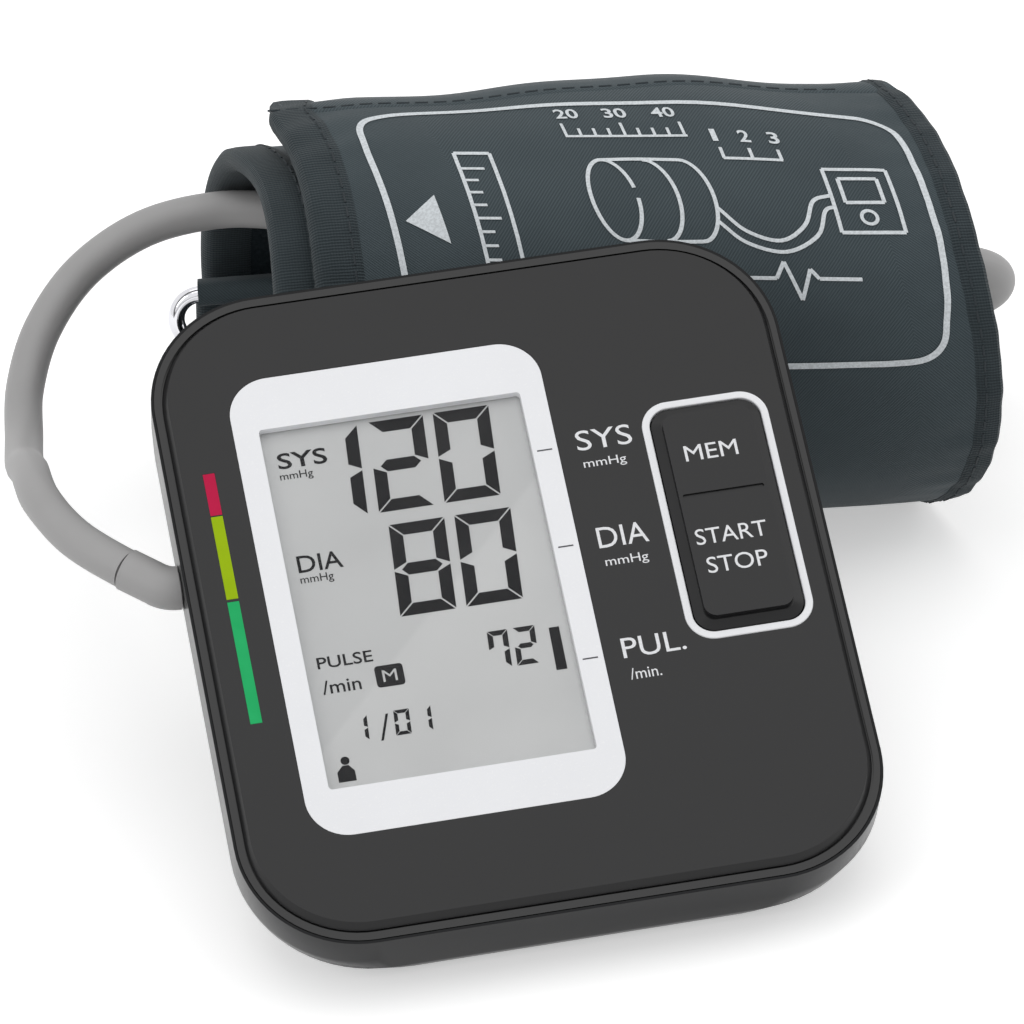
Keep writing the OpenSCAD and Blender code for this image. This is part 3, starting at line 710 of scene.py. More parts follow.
@dataclass
class Studio:
    """Camera of the photograph, soft overhead light and a pale floor."""

    eye: Triple = (-0.15469, -0.99986, 0.74018)
    turn: Triple = (57.293, 3.322, -10.626)
    lens: float = 228.5
    sky: float = 0.58

    def build(self) -> None:
        """Makes camera, lights, world and floor."""
        bpy.context.scene.view_settings.view_transform = "Standard"
        self.camera()
        self.lamp("soft_box", (0.05, 0.1, 1.5), (0.0, 0.0, 0.0), 1.5, 6.2)
        self.lamp("left_panel", (-1.3, -0.5, 0.9), (0.0, -55.0, 20.0), 0.9, 3.8)
        self.lamp("right_panel", (1.4, 0.3, 0.8), (0.0, 62.0, 0.0), 0.9, 2.4)
        self.world()
        self.floor()

    def seat(self, name: str, data: bpy.types.ID, spot: Triple, turn: Triple) -> bpy.types.Object:
        """Puts a camera or lamp in its place.

        Args:
            name: Name of the object.
            data: The camera or lamp.
            spot: Its place in metres.
            turn: Its turn in degrees.

        Returns:
            The object.
        """
        seat = bpy.data.objects.new(name, data)
        seat.location = spot
        seat.rotation_euler = [math.radians(value) for value in turn]
        bpy.context.scene.collection.objects.link(seat)
        return seat

    def camera(self) -> None:
        """Makes the camera at the photograph's place."""
        data = bpy.data.cameras.new("photo_camera")
        data.lens = self.lens
        data.sensor_width = 36.0
        data.clip_start = 0.05
        data.clip_end = 20.0
        bpy.context.scene.camera = self.seat("photo_camera", data, self.eye, self.turn)

    def lamp(self, name: str, spot: Triple, turn: Triple, size: float, power: float) -> None:
        """Makes one square soft lamp.

        Args:
            name: Name of the lamp.
            spot: Its place in metres.
            turn: Its turn in degrees.
            size: Side of the square in metres.
            power: Power in watts.
        """
        data = bpy.data.lights.new(name, "AREA")
        data.size = size
        data.energy = power
        self.seat(name, data, spot, turn)

    def world(self) -> None:
        """Makes a plain surrounding that camera, metal and glass see as white."""
        world = bpy.data.worlds.new("studio")
        world.use_nodes = True
        nodes = Nodes(world.node_tree)
        strength = nodes.span(nodes.seen(), 0.0, 1.0, self.sky, 1.0)
        glow = nodes.add("ShaderNodeBackground", {"Color": WHITE, "Strength": strength})
        nodes.add("ShaderNodeOutputWorld", {"Surface": glow.outputs[0]})
        bpy.context.scene.world = world

    def floor(self) -> None:
        """Makes the pale floor, which keeps the shadow."""
        bm = bmesh.new()
        bmesh.ops.create_grid(bm, x_segments=8, y_segments=8, size=3.0)
        mesh = bpy.data.meshes.new("studio_floor")
        bm.to_mesh(mesh)
        bm.free()
        floor = bpy.data.objects.new("studio_floor", mesh)
        bpy.context.scene.collection.objects.link(floor)
        sheet = NodeSheet("pale_floor")
        cloud = sheet.noise(sheet.place(), 200.0, 2.0)
        sheet.set(
            Base_Color=sheet.blend(cloud, (0.86, 0.86, 0.86, 1), (0.88, 0.88, 0.88, 1)),
            Roughness=0.9,
            Specular_IOR_Level=0.0,
        )
        glow = sheet.add("ShaderNodeEmission", {"Strength": sheet.calc("MULTIPLY", sheet.seen(), 0.45)})
        both = sheet.add("ShaderNodeAddShader", {0: sheet.skin.outputs[0], 1: glow.outputs[0]})
        sheet.feed(sheet.out.inputs["Surface"], both.outputs[0])
        mesh.materials.append(sheet.material)


@dataclass
class AirHose:
    """Free hose from the plug in the case to the elbow in the roll."""

    diameter: float = 8.0
    plug_end: Triple = (-72.3168, 63.7417, 51.2525)
    plug_way: Triple = (-0.743145, 0.628778, 0.228856)
    elbow_spot: Triple = (56.0, 13.977, -2.519)
    route: tuple[Triple, ...] = (
        (-81, 75.3, 53), (-85.7, 90.3, 53.2), (-86.2, 108.5, 48.8), (-86.1, 124.5, 41),
        (-84.5, 142.1, 36.3), (-82.1, 158.4, 38.2), (-76.2, 171.3, 44.2), (-65.9, 180.4, 51.3),
        (-51.8, 184.8, 56.8), (-36.1, 184.5, 58.9), (-22, 179.5, 59.1), (-7.7, 174, 58.1),
        (6, 170.6, 55.5), (19.5, 165.5, 52), (33.5, 161, 47.5), (47.5, 157, 43),
        (62, 156.5, 41), (76, 155, 40),
    )
    lead: float = 12.0
    run_out: float = 13.0
    steps: int = 8

    def centreline(self) -> list[Vector]:
        """Points of the smooth curve through the route, in millimetres.

        Returns:
            The points from plug to elbow.
        """
        start, way = Vector(self.plug_end), Vector(self.plug_way)
        turn = Matrix.Rotation(math.radians(ROLL.yaw), 3, "Z")
        end, onward = Vector(ROLL.origin) + turn @ Vector(self.elbow_spot), turn @ Vector((1, 0, 0))
        knots = [start - self.lead * way, start, *map(Vector, self.route)]
        knots += [end - self.run_out * onward, end, end + self.run_out * onward]
        return smooth_line(knots, self.steps) + [end]

    def build(self) -> None:
        """Makes the hose as one open spline."""
        points = self.centreline()
        curve = bpy.data.curves.new("air_hose_tube", "CURVE")
        curve.dimensions = "3D"
        curve.bevel_depth = self.diameter / 2 * MM
        curve.bevel_resolution = 7
        curve.use_fill_caps = True
        line = curve.splines.new("POLY")
        line.points.add(len(points) - 1)
        for knot, point in zip(line.points, points):
            knot.co = (*(point * MM), 1.0)
        line.use_smooth = True
        curve.materials.append(PALETTE["grey_hose"])
        hose = bpy.data.objects.new("air_hose_tube", curve)
        bpy.context.scene.collection.objects.link(hose)
        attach(hose, Body.CUFF.value)
        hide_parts("air_hose")


@dataclass
class Lettering:
    """One word fitted to a box on a face."""

    words: str
    left: float
    right: float
    low: float
    high: float
    weight: float = 0.0


def word_mesh(item: Lettering, thickness: float, rise: float) -> bpy.types.Mesh:
    """Makes a word as a thin raised mesh that fills its box.

    Args:
        item: The word, its box and its weight.
        thickness: Height of the letters in millimetres.
        rise: Height of their underside.

    Returns:
        The mesh, in the millimetres of the face.
    """
    curve = bpy.data.curves.new("word", "FONT")
    curve.body = item.words
    curve.offset = item.weight
    curve.extrude = 0.5 if thickness else 0.0
    curve.resolution_u = 4
    shape = bpy.data.objects.new("word", curve)
    mesh = bpy.data.meshes.new_from_object(shape)
    bpy.data.objects.remove(shape)
    bpy.data.curves.remove(curve)
    xs = [vert.co.x for vert in mesh.vertices]
    ys = [vert.co.y for vert in mesh.vertices]
    wide = (item.right - item.left) / (max(xs) - min(xs))
    tall = (item.high - item.low) / (max(ys) - min(ys))
    seat = Matrix.Translation((item.left, item.low, rise + thickness / 2))
    fit = seat @ Matrix.Diagonal((wide, tall, thickness, 1))
    mesh.transform(fit @ Matrix.Translation((-min(xs), -min(ys), 0)))
    return mesh


def printed(words: Sequence[Lettering], rise: float, thickness: float) -> Form:
    """Gathers words into one form on the case.

    Args:
        words: The words.
        rise: Height of the face that carries them.
        thickness: How thick the ink is.

    Returns:
        The form that holds them.
    """
    form = Form(CASE)
    for item in words:
        form.absorb(word_mesh(item, thickness, rise))
    bmesh.ops.remove_doubles(form.bm, verts=form.bm.verts, dist=1e-4)
    return form


@dataclass
class Digits:
    """Slanted seven-segment figures of the display."""

    thickness: float = 2.55
    slant: float = 0.065
    gap: float = 0.22
    shapes: dict = field(default_factory=lambda: {
        "0": "abcdef", "1": "bc", "2": "abged", "7": "fabc", "8": "abcdefg",
    })

    def bars(self, wide: float, tall: float) -> dict[str, list[Pair]]:
        """Outline of each segment in a box.

        Args:
            wide: Width of the figure.
            tall: Height of the figure.

        Returns:
            Corners of each segment by its letter.
        """
        g, t, half = self.gap, self.thickness, tall / 2
        top = [(g, tall), (wide - g, tall), (wide - t - g, tall - t), (t + g, tall - t)]
        upper = [(wide, half + g), (wide, tall - g), (wide - t, tall - t - g), (wide - t, half + t / 2 + g)]
        middle = [(t / 2 + g, half), (t + g, half + t / 2), (wide - t - g, half + t / 2),
                  (wide - t / 2 - g, half), (wide - t - g, half - t / 2), (t + g, half - t / 2)]
        return {
            "a": top,
            "b": upper,
            "c": [(x, tall - y) for x, y in reversed(upper)],
            "d": [(x, tall - y) for x, y in reversed(top)],
            "e": [(wide - x, tall - y) for x, y in upper],
            "f": [(wide - x, y) for x, y in reversed(upper)],
            "g": middle,
        }

    def draw(self, form: Form, figures: Sequence[tuple[str, float, float]], foot: float, head: float,
             low: float, high: float) -> None:
        """Adds a row of figures to a form.

        Args:
            form: The form.
            figures: Each figure with its left and right edge.
            foot: Lower edge of the row.
            head: Upper edge of the row.
            low: Height of the underside.
            high: Height of the top.
        """
        middle = (head - foot) / 2
        for figure, left, right in figures:
            bars = self.bars(right - left, head - foot)
            for letter in self.shapes[figure]:
                corners = [(left + x + (y - middle) * self.slant, foot + y) for x, y in bars[letter]]
                form.plate(corners, low, high)


@dataclass
class FaceGroup:
    """Face of the case: plate, display, level scale and printed words."""

    screen_low: float = -1.99
    ink: float = 0.04
    thin: float = 0.02

    def build(self) -> None:
        """Makes the pieces of the face."""
        dress("white_gloss", "display_frame")
        dress("gloss_black", "face_plate")
        softened("key_outline", "key_rim", Body.CASE, "white_gloss", "white_gloss", 0.25)
        dress("level_ink", "level_scale")
        dress("screen_glass", "lcd_panel")
        self.window()
        self.screen_words()
        self.screen_figures()
        self.frame_ticks()
        self.face_words()

    def window(self) -> None:
        """Makes the clear window with a softly rounded edge."""
        form = Form(CASE)
        form.slab(51.8, 78.6, 0.7, -1.93, -0.4, (-17.05, 0.55), edge=0.2, steps=4)
        form.finish("display_window", Body.CASE, "clear_window", "clear_lens", ["display_lens"])

    def screen_words(self) -> None:
        """Makes the fixed words of the display."""
        low, high = self.screen_low, self.screen_low + self.ink
        words = [
            Lettering("SYS", -40.35, -30.65, 31.65, 35.15, 0.012),
            Lettering("mmHg", -40.45, -33.95, 28.75, 30.9),
            Lettering("DIA", -40.45, -31.65, 8.65, 12.35, 0.006),
            Lettering("mmHg", -40.45, -33.95, 5.8, 8.0),
            Lettering("PULSE", -40.45, -29.65, -12.45, -9.95, 0.008),
            Lettering("/min", -40.35, -32.85, -17.95, -15.05, 0.006),
        ]
        form = printed(words, low, self.ink)
        form.slab(5.5, 4.6, 0.7, low, high, (-27.1, -15.95), steps=4)
        x, y = -38.9, -34.3
        form.slab(1.7, 1.7, 0.8, low, high, (x + 0.1, y + 1.9), steps=5)
        form.plate([(x - 1.8, y - 2.5), (x + 1.6, y - 2.5), (x + 1.6, y - 0.4), (x + 0.6, y + 0.9),
                    (x - 0.6, y + 0.9), (x - 1.8, y - 0.4)], low, high)
        form.finish("screen_words", Body.CASE, "screen_ink", "scale_print")
        mark = printed([Lettering("M", -28.5, -25.7, -17.2, -14.7)], high, self.thin)
        mark.finish("memory_mark", Body.CASE, "screen_glass", "lcd_glass")

    def screen_figures(self) -> None:
        """Makes the figures of the display."""
        form = Form(CASE)
        low, high = self.screen_low, self.screen_low + self.ink
        tens, ones = ("2", -22.15, -11.15), ("0", -9.15, 1.95)
        Digits().draw(form, [("1", -35.6, -24.35), tens, ones], 19.1, 39.1, low, high)
        Digits().draw(form, [("8", *tens[1:]), ones], -3.9, 16.1, low, high)
        pulse = [("7", -7.25, -3.3), ("2", -2.25, 2.05)]
        date = [("1", -36.2, -33.2), ("0", -28.0, -25.0), ("1", -24.0, -20.8)]
        Digits(1.05, 0.06, 0.12).draw(form, pulse, -18.05, -9.95, low, high)
        Digits(0.72, 0.06, 0.1).draw(form, date, -28.8, -23.5, low, high)
        form.plate([(4.75, -20.25), (6.85, -20.25), (6.95, -11.05), (4.95, -11.05)], low, high)
        form.plate([(-31.2, -29.4), (-30.7, -29.4), (-28.9, -23.9), (-29.4, -23.9)], low, high)
        form.finish("screen_figures", Body.CASE, "screen_ink", "scale_print")

    def frame_ticks(self) -> None:
        """Makes the three short lines from the display to the words beside it."""
        form = Form(CASE)
        for height in (26.35, 4.85, -19.75):
            form.slab(3.0, 0.3, 0.0, -0.05, -0.02, (11.35, height))
        form.finish("frame_ticks", Body.CASE, "tick_ink", "scale_print")

    def face_words(self) -> None:
        """Makes the white words beside the display."""
        words = [
            Lettering("SYS", 17.75, 28.75, 24.95, 29.35),
            Lettering("mmHg", 18.25, 26.75, 20.55, 22.95),
            Lettering("DIA", 17.75, 27.65, 3.25, 7.75),
            Lettering("mmHg", 18.25, 26.75, -1.35, 1.15),
            Lettering("PUL.", 17.75, 30.15, -20.95, -16.65),
            Lettering("/min.", 18.25, 24.35, -25.65, -23.25),
        ]
        form = printed(words, 0.0, self.thin)
        form.finish("face_words", Body.CASE, "white_ink", "scale_print")


@dataclass
class KeyGroup:
    """Rocker key with its printed words."""

    top: float = 2.1
    ink: float = 0.02

    def build(self) -> None:
        """Makes the pieces of the key."""
        dress("key_black", "rocker_key")
        dress("grey_rubber", "key_mat")
        words = [
            Lettering("MEM", 37.85, 48.35, 18.1, 21.5),
            Lettering("START", 36.25, 50.35, -0.35, 3.1),
            Lettering("STOP", 37.25, 49.25, -6.7, -3.2),
        ]
        form = printed(words, self.top, self.ink)
        form.finish("key_words", Body.KEY, "white_ink", "scale_print")


@dataclass
class CaseGroup:
    """Shells, sockets, battery bay and the parts inside the case, with plug, elbow and ring."""

    looks: dict = field(default_factory=lambda: {
        "rim_black": ["upper_shell"],
        "shell_black": ["battery_cover"],
        "black_plastic": ["air_socket", "power_jack", "board_parts", "buzzer"],
        "white_plastic": ["lcd_holder", "pressure_sensor", "air_pump_head"],
        "dark_rubber": ["contact_strips", "rubber_feet"],
        "board_green": ["circuit_board"],
        "steel": ["air_pump_motor", "release_valve", "contact_springs", "contact_plates", "case_screws",
                  "board_screws"],
        "clear_tube": ["air_tubing"],
        "cell_can": ["battery_cell_1", "battery_cell_2", "battery_cell_3", "battery_cell_4"],
        "grey_hose": ["air_plug", "hose_elbow"],
        "chrome": ["metal_ring"],
    })

    def build(self) -> None:
        """Dresses the CAD nodes that keep their shape."""
        for finish, nodes in self.looks.items():
            dress(finish, *nodes)
        softened("lower_shell", "back_shell", Body.CASE, "shell_black", "case_plastic")


@dataclass
class CuffShape:
    """Shape of the rolled cuff: a strip wound from its free end to its inner end."""

    free_angle: float = 112.0
    hem_angle: float = 101.0
    inner_angle: float = -530.0
    seam_angle: float = -524.0
    outer_radius: float = 43.5
    pitch: float = 5.5
    lift: float = 3.0
    drift: float = 7.0
    half: float = 2.2
    shear: float = math.tan(math.radians(22))
    floor: float = ROLL.origin[2]

    def radius(self, angle: float) -> float:
        """Distance of the strip's middle from the roll's axis."""
        lift = self.lift * ease((angle - 30) / 82)
        return self.outer_radius - self.pitch * (self.free_angle - angle) / 360 + lift

    def turned(self, angle: float) -> float:
        """The angle within its own turn, from 20 to 380 degrees."""
        return angle - 360 * math.floor((angle - 20) / 360)

    def waist(self, angle: float) -> float:
        """How far the left edge draws in, the same in every turn.

        Args:
            angle: Angle round the roll, in degrees.

        Returns:
            The distance in millimetres.
        """
        turned = self.turned(angle)
        if turned < 100:
            return 9.5 * ease((turned - 20) / 80)
        if turned < 140:
            return 9.5 + 1.5 * ease((turned - 100) / 40)
        return 11 * (1 - ease((turned - 140) / 170))

    def crown(self, angle: float) -> float:
        """How much of the sag near the top of the roll belongs to an angle."""
        turned = self.turned(angle)
        return ease((turned - 30) / 60) * (1 - ease((turned - 120) / 60))

    def edge(self, side: Side, angle: float, inset: float = 0.0) -> float:
        """Place along the roll at a distance from one long edge.

        Args:
            side: Which edge.
            angle: Angle round the roll, in degrees.
            inset: Distance from the edge.

        Returns:
            The place in millimetres.
        """
        if side is Side.LEFT:
            taper = 3.5 * ease((-470 - angle) / 60) + 3.0 * ease((angle - 100) / 12)
            return self.waist(angle) + taper - 68 + inset
        return 67.5 + 0.16 * self.waist(angle) + 3.5 * self.crown(angle) - inset

    def wave(self, angle: float, along: float) -> float:
        """How far the outer turn puffs out and puckers at a place.

        Args:
            angle: Angle round the roll, in degrees.
            along: Place along the roll.

        Returns:
            The distance in millimetres.
        """
        top = ease((angle - 78) / 30)
        crease = math.sin(along / 11.0 + 0.8) + 0.6 * math.sin(along / 5.3 + 2.0)
        puff = 0.35 + 0.3 * math.sin(along / 17.0 + angle / 19.0)
        outer = ease((angle + 150) / 60)
        left = along - self.edge(Side.LEFT, angle)
        right = self.edge(Side.RIGHT, angle) - along
        coarse = 0.15 * math.sin(math.radians(angle * 23 + right * 16))
        tucks = (coarse + 0.1 * math.sin(math.radians(angle * 41))) * ease((19 - right) / 12)
        folds = 0.2 * math.sin(math.radians(angle * 33 - left * 14)) * ease((22 - left) / 12)
        facing = ease((angle + 30) / 30) * (1 - ease((angle - 72) / 14)) * (1 - ease((along - 40) / 15))
        swell = (0.9 * max(puff, 0.0) - 0.65 * facing) * ease(min(left, right) / 20)
        return 0.4 * top * (crease + 1.6) + outer * (swell + (1 - 0.7 * facing) * (tucks + folds))

    def spot(self, angle: float, rise: float, along: float) -> Vector:
        """One point of the cuff, in the roll's frame.

        Args:
            angle: Angle round the roll, in degrees.
            rise: Height through the thickness of the strip.
            along: Place across the strip, along the roll.

        Returns:
            The point in millimetres.
        """
        sag = 4.8 * ease((along - 20) / 48) * self.crown(angle)
        reach = self.radius(angle) + rise + self.wave(angle, along) - sag
        w = -reach * math.cos(math.radians(angle))
        h = max(reach * math.sin(math.radians(angle)), rise - self.half - self.floor)
        return Vector((along - self.drift * (self.free_angle - angle) / 360 - w * self.shear, w, h))

    def girth(self, angle: float) -> float:
        """Length of the strip from its free end to an angle, about its middle."""
        turned = math.radians(self.free_angle - angle)
        return turned * (self.radius(angle) + self.outer_radius + self.lift) / 2

    def angles(self, first: float, last: float, step: float = 1.6) -> list[float]:
        """Even angles from first to last."""
        count = max(2, math.ceil(abs(last - first) / step))
        return [first + (last - first) * index / count for index in range(count + 1)]


Rule = Callable[[object, object], Vector]
Flat = Callable[[object, object], Pair]


def bent_sheet(columns: Sequence[object], rows: Sequence[object], rule: Rule,
               flat: Flat) -> bmesh.types.BMesh:
    """Bends a grid into a sheet by a rule and keeps its flat millimetres as UV.

    Args:
        columns: Value of each column.
        rows: Value of each row.
        rule: Place of a column and row.
        flat: Flat place of a column and row.

    Returns:
        The sheet as a bmesh.
    """
    bm = bmesh.new()
    layer = bm.loops.layers.uv.new("flat_mm")
    nx, ny = len(columns) - 1, len(rows) - 1
    bmesh.ops.create_grid(bm, x_segments=nx, y_segments=ny, size=1.0)
    spots = {}
    for vert in bm.verts:
        i, j = round((vert.co.x + 1) / 2 * nx), round((vert.co.y + 1) / 2 * ny)
        spots[vert] = flat(columns[i], rows[j])
        vert.co = rule(columns[i], rows[j])
    for face in bm.faces:
        for loop in face.loops:
            loop[layer].uv = spots[loop.vert]
    return bm


def walled(bm: bmesh.types.BMesh, near: Vector, outward: Vector, wall: float) -> Form:
    """Gives a bent sheet a wall on its inner side.

    Args:
        bm: The sheet, in the roll's frame.
        near: A place on the sheet.
        outward: Direction that the sheet faces there.
        wall: Thickness of the wall in millimetres.

    Returns:
        The form that holds it.
    """
    bm.normal_update()
    face = min(bm.faces, key=lambda item: (item.calc_center_median() - near).length)
    if face.normal.dot(outward) < 0:
        bmesh.ops.reverse_faces(bm, faces=bm.faces[:])
    bmesh.ops.solidify(bm, geom=bm.faces[:], thickness=wall)
    return Form(ROLL, bm)


def run_lengths(section: Sequence[Pair], scale: float = 1.0) -> dict[Pair, float]:
    """Length along a folded section up to each of its points.

    Args:
        section: Points of the section.
        scale: Millimetres per unit of their first part.

    Returns:
        The length for each point.
    """
    runs = [0.0]
    for (a, b), (c, d) in zip(section, section[1:]):
        runs.append(runs[-1] + math.hypot((c - a) * scale, d - b))
    return dict(zip(section, runs))


@dataclass
class CuffGroup:
    """Rolled cuff: shell cloth, bladder, lining, bindings, hems, stitches and the ring's loop."""

    shape: CuffShape = field(default_factory=CuffShape)
    tapes: dict = field(default_factory=lambda: {Side.LEFT: 9.5, Side.RIGHT: 6.0})
    cloth: float = 0.9
    cloth_inset: float = 3.0
    lining_rise: float = -1.3
    bladder: float = 2.0
    bladder_rise: float = 1.0
    bladder_ends: Pair = (60.0, -515.0)
    bladder_left: float = -52.0
    bladder_width: float = 110.0
    tape: float = 0.32
    tape_top: float = 2.66
    fold: float = 0.5
    fold_top: float = 2.55
    fold_inset: float = 1.5
    stitch_length: float = 2.2
    stitch_radius: float = 0.24
    stitch_inset: float = 1.7
    seam_half: float = 58.0
    loop: float = 0.6
    loop_ends: Pair = (-81.2, 35.9)
    bar_spot: Pair = (28.0, -4.0)
    bar_hold: float = 2.6
    flat_width: float = 0.132
    columns: int = 46

    def build(self) -> None:
        """Makes the pieces of the cuff."""
        shape = self.shape
        ends = (shape.hem_angle, shape.seam_angle)
        shell = self.layer("shell_cloth", ends, shape.half, self.cloth, True,
                           "cuff_twill", "cuff_fabric", "cuff_cloth")
        lining = self.layer("inner_lining", ends, self.lining_rise, self.cloth, True,
                            "loop_pile", "lining_fabric", "cuff_lining")
        bladder = self.layer("bladder_bag", self.bladder_ends, self.bladder_rise, self.bladder, False,
                             "bladder_film", "bladder_film", "air_bladder")
        trim = [self.binding(side) for side in Side]
        trim.append(self.hem("free_hem", shape.free_angle, shape.hem_angle, "end_hem"))
        trim.append(self.hem("root_hem", shape.inner_angle, shape.seam_angle, "inner_seam"))
        trim.append(self.stitches())
        flat = (self.flat_width, shape.girth(shape.inner_angle) * MM)
        self.keeper()

    def layer(self, name: str, ends: Pair, rise: float, wall: float, bound: bool,
              finish: str, slot: str, node: str) -> bpy.types.Object:
        """Makes one wound layer with a wall.

        Args:
            name: Name of the piece.
            ends: Angles at its outer and inner end.
            rise: Rise of its outer face.
            wall: Wall in millimetres.
            bound: Whether it runs from tape to tape, or has the bladder's own width.
            finish: Its finish.
            slot: Material slot of the record.
            node: CAD node that it replaces.

        Returns:
            The piece.
        """
        shape = self.shape

        def along(share: float, angle: float) -> float:
            """Place across the strip for a share of its width.

            Args:
                share: Share from 0 at the left to 1.
                angle: Angle round the roll.

            Returns:
                The place in millimetres.
            """
            if not bound:
                return self.bladder_left + self.bladder_width * share
            left, right = (shape.edge(side, angle, self.cloth_inset) for side in Side)
            return left + (right - left) * share

        bm = bent_sheet(
            [index / self.columns for index in range(self.columns + 1)], shape.angles(*ends),
            lambda share, angle: shape.spot(angle, rise, along(share, angle)),
            lambda share, angle: (along(share, angle), shape.girth(angle)),
        )
        near = shape.spot(ends[0], rise, 0)
        form = walled(bm, near, shape.spot(ends[0], rise + 1, 0) - near, wall)
        return form.finish(name, Body.CUFF, finish, slot, [node], even=False)

    def binding(self, side: Side) -> bpy.types.Object:
        """Folds the ribbed tape round one long edge of the cuff.

        Args:
            side: Which edge.

        Returns:
            The tape.
        """
        shape, wide, top = self.shape, self.tapes[side], self.tape_top
        upper = [(wide, 2.3), (wide - 0.9, 2.62), (5.0, top), (3.0, 2.6), (1.2, 2.35), (0.3, 1.5), (0.0, 0.4)]
        section = upper + [(inset, -rise) for inset, rise in reversed(upper)]
        lengths = run_lengths(section)
        bm = bent_sheet(
            section, shape.angles(shape.free_angle, shape.inner_angle),
            lambda cut, angle: shape.spot(angle, cut[1], shape.edge(side, angle, cut[0])),
            lambda cut, angle: (lengths[cut], shape.girth(angle)),
        )
        form = walled(bm, shape.spot(90, 2.6, shape.edge(side, 90, 6)), Vector((0, 0, 1)), self.tape)
        name, node = f"{side.value}_tape", f"{side.value}_binding"
        return form.finish(name, Body.CUFF, "ribbed_tape", "tape_fabric", [node], even=False)

    def hem(self, name: str, edge: float, stop: float, node: str) -> bpy.types.Object:
        """Folds the cloth over at one end of the strip.

        Args:
            name: Name of the piece.
            edge: Angle of the folded end.
            stop: Angle where the fold is sewn down.
            node: CAD node that it replaces.

        Returns:
            The hem.
        """
        shape = self.shape
        way = 1 if stop > edge else -1
        per_degree = math.radians(shape.radius(edge))
        reach = abs(stop - edge)
        round_in, round_out = 0.5 / per_degree, 1.6 / per_degree
        section = [(reach, 2.2), (reach - 0.6 / per_degree, 2.5), (reach / 2, self.fold_top),
                   (round_out, 2.45), (round_in, 1.8), (0.0, 0.7), (0.0, -0.7), (round_in, -1.8),
                   (round_out, -2.3), (reach / 2, -2.3), (reach, -2.2)]
        left, right = (shape.edge(side, edge, self.fold_inset) for side in Side)
        lengths = run_lengths(section, per_degree)
        bm = bent_sheet(
            [left + (right - left) * index / self.columns for index in range(self.columns + 1)], section,
            lambda along, cut: shape.spot(edge + way * cut[0], cut[1], along),
            lambda along, cut: (along, lengths[cut]),
        )
        near = shape.spot(edge + way * reach / 2, self.fold_top, 0)
        form = walled(bm, near, shape.spot(edge, 3, 0) - shape.spot(edge, 2, 0), self.fold)
        return form.finish(name, Body.CUFF, "cuff_twill", "cuff_fabric", [node], even=False)

    def stitches(self) -> bpy.types.Object:
        """Sews the tapes and the hem with small raised stitches.

        Returns:
            All stitches as one piece.
        """
        shape = self.shape
        form = Form(ROLL)
        for side in Side:
            inset = self.tapes[side] - self.stitch_inset
            angle = shape.free_angle - 1.5
            while angle > shape.inner_angle + 3:
                step = self.stitch_length / math.radians(shape.radius(angle))
                start, end = (shape.spot(turn, self.tape_top, shape.edge(side, turn, inset))
                              for turn in (angle, angle - step))
                self.stitch(form, start, end)
                angle -= step * 1.5
        along, seam = -self.seam_half, shape.hem_angle + 1.6
        while along < self.seam_half:
            self.stitch(form, shape.spot(seam, 2.52, along), shape.spot(seam, 2.52, along + 2.6))
            along += 3.8
        return form.finish("stitches", Body.CUFF, "thread", "tape_fabric")

    def stitch(self, form: Form, start: Vector, end: Vector) -> None:
        """Adds one stitch between two points, as a small rod.

        Args:
            form: The form of the stitches.
            start: One end.
            end: The other end.
        """
        way = end - start
        turn = way.to_track_quat("Z", "Y").to_matrix().to_4x4()
        bmesh.ops.create_cone(
            form.bm, cap_ends=True, segments=6, radius1=self.stitch_radius, radius2=self.stitch_radius,
            depth=way.length, matrix=Matrix.Translation((start + end) / 2) @ turn,
        )

    def keeper(self) -> None:
        """Makes the cloth loop that holds the ring at the inner end."""
        shape, hold = self.shape, self.bar_hold
        across, up = self.bar_spot
        reach, angle = shape.radius(shape.inner_angle), math.radians(shape.inner_angle)

        def at(distance: float) -> Pair:
            """Place across and up at a distance from the roll's axis."""
            return -distance * math.cos(angle), distance * math.sin(angle)

        path = [at(reach + 1.7), (across + 5.4, up + 0.6), (across + 3.0, up + 2.0)]
        path += [(across + hold * math.cos(math.radians(turn)), up + hold * math.sin(math.radians(turn)))
                 for turn in range(75, 290, 15)]
        path.append(at(reach - 1.7))
        lengths = run_lengths(path)
        first, last = self.loop_ends
        bm = bent_sheet(
            [first + (last - first) * index / 40 for index in range(41)], path,
            lambda along, cut: Vector((along, cut[0], cut[1])),
            lambda along, cut: (along, lengths[cut]),
        )
        form = walled(bm, Vector((0, across, up - hold)), Vector((0, 0, -1)), self.loop)
        form.finish("ring_loop", Body.CUFF, "cuff_twill", "tape_fabric", ["ring_keeper"], even=False)


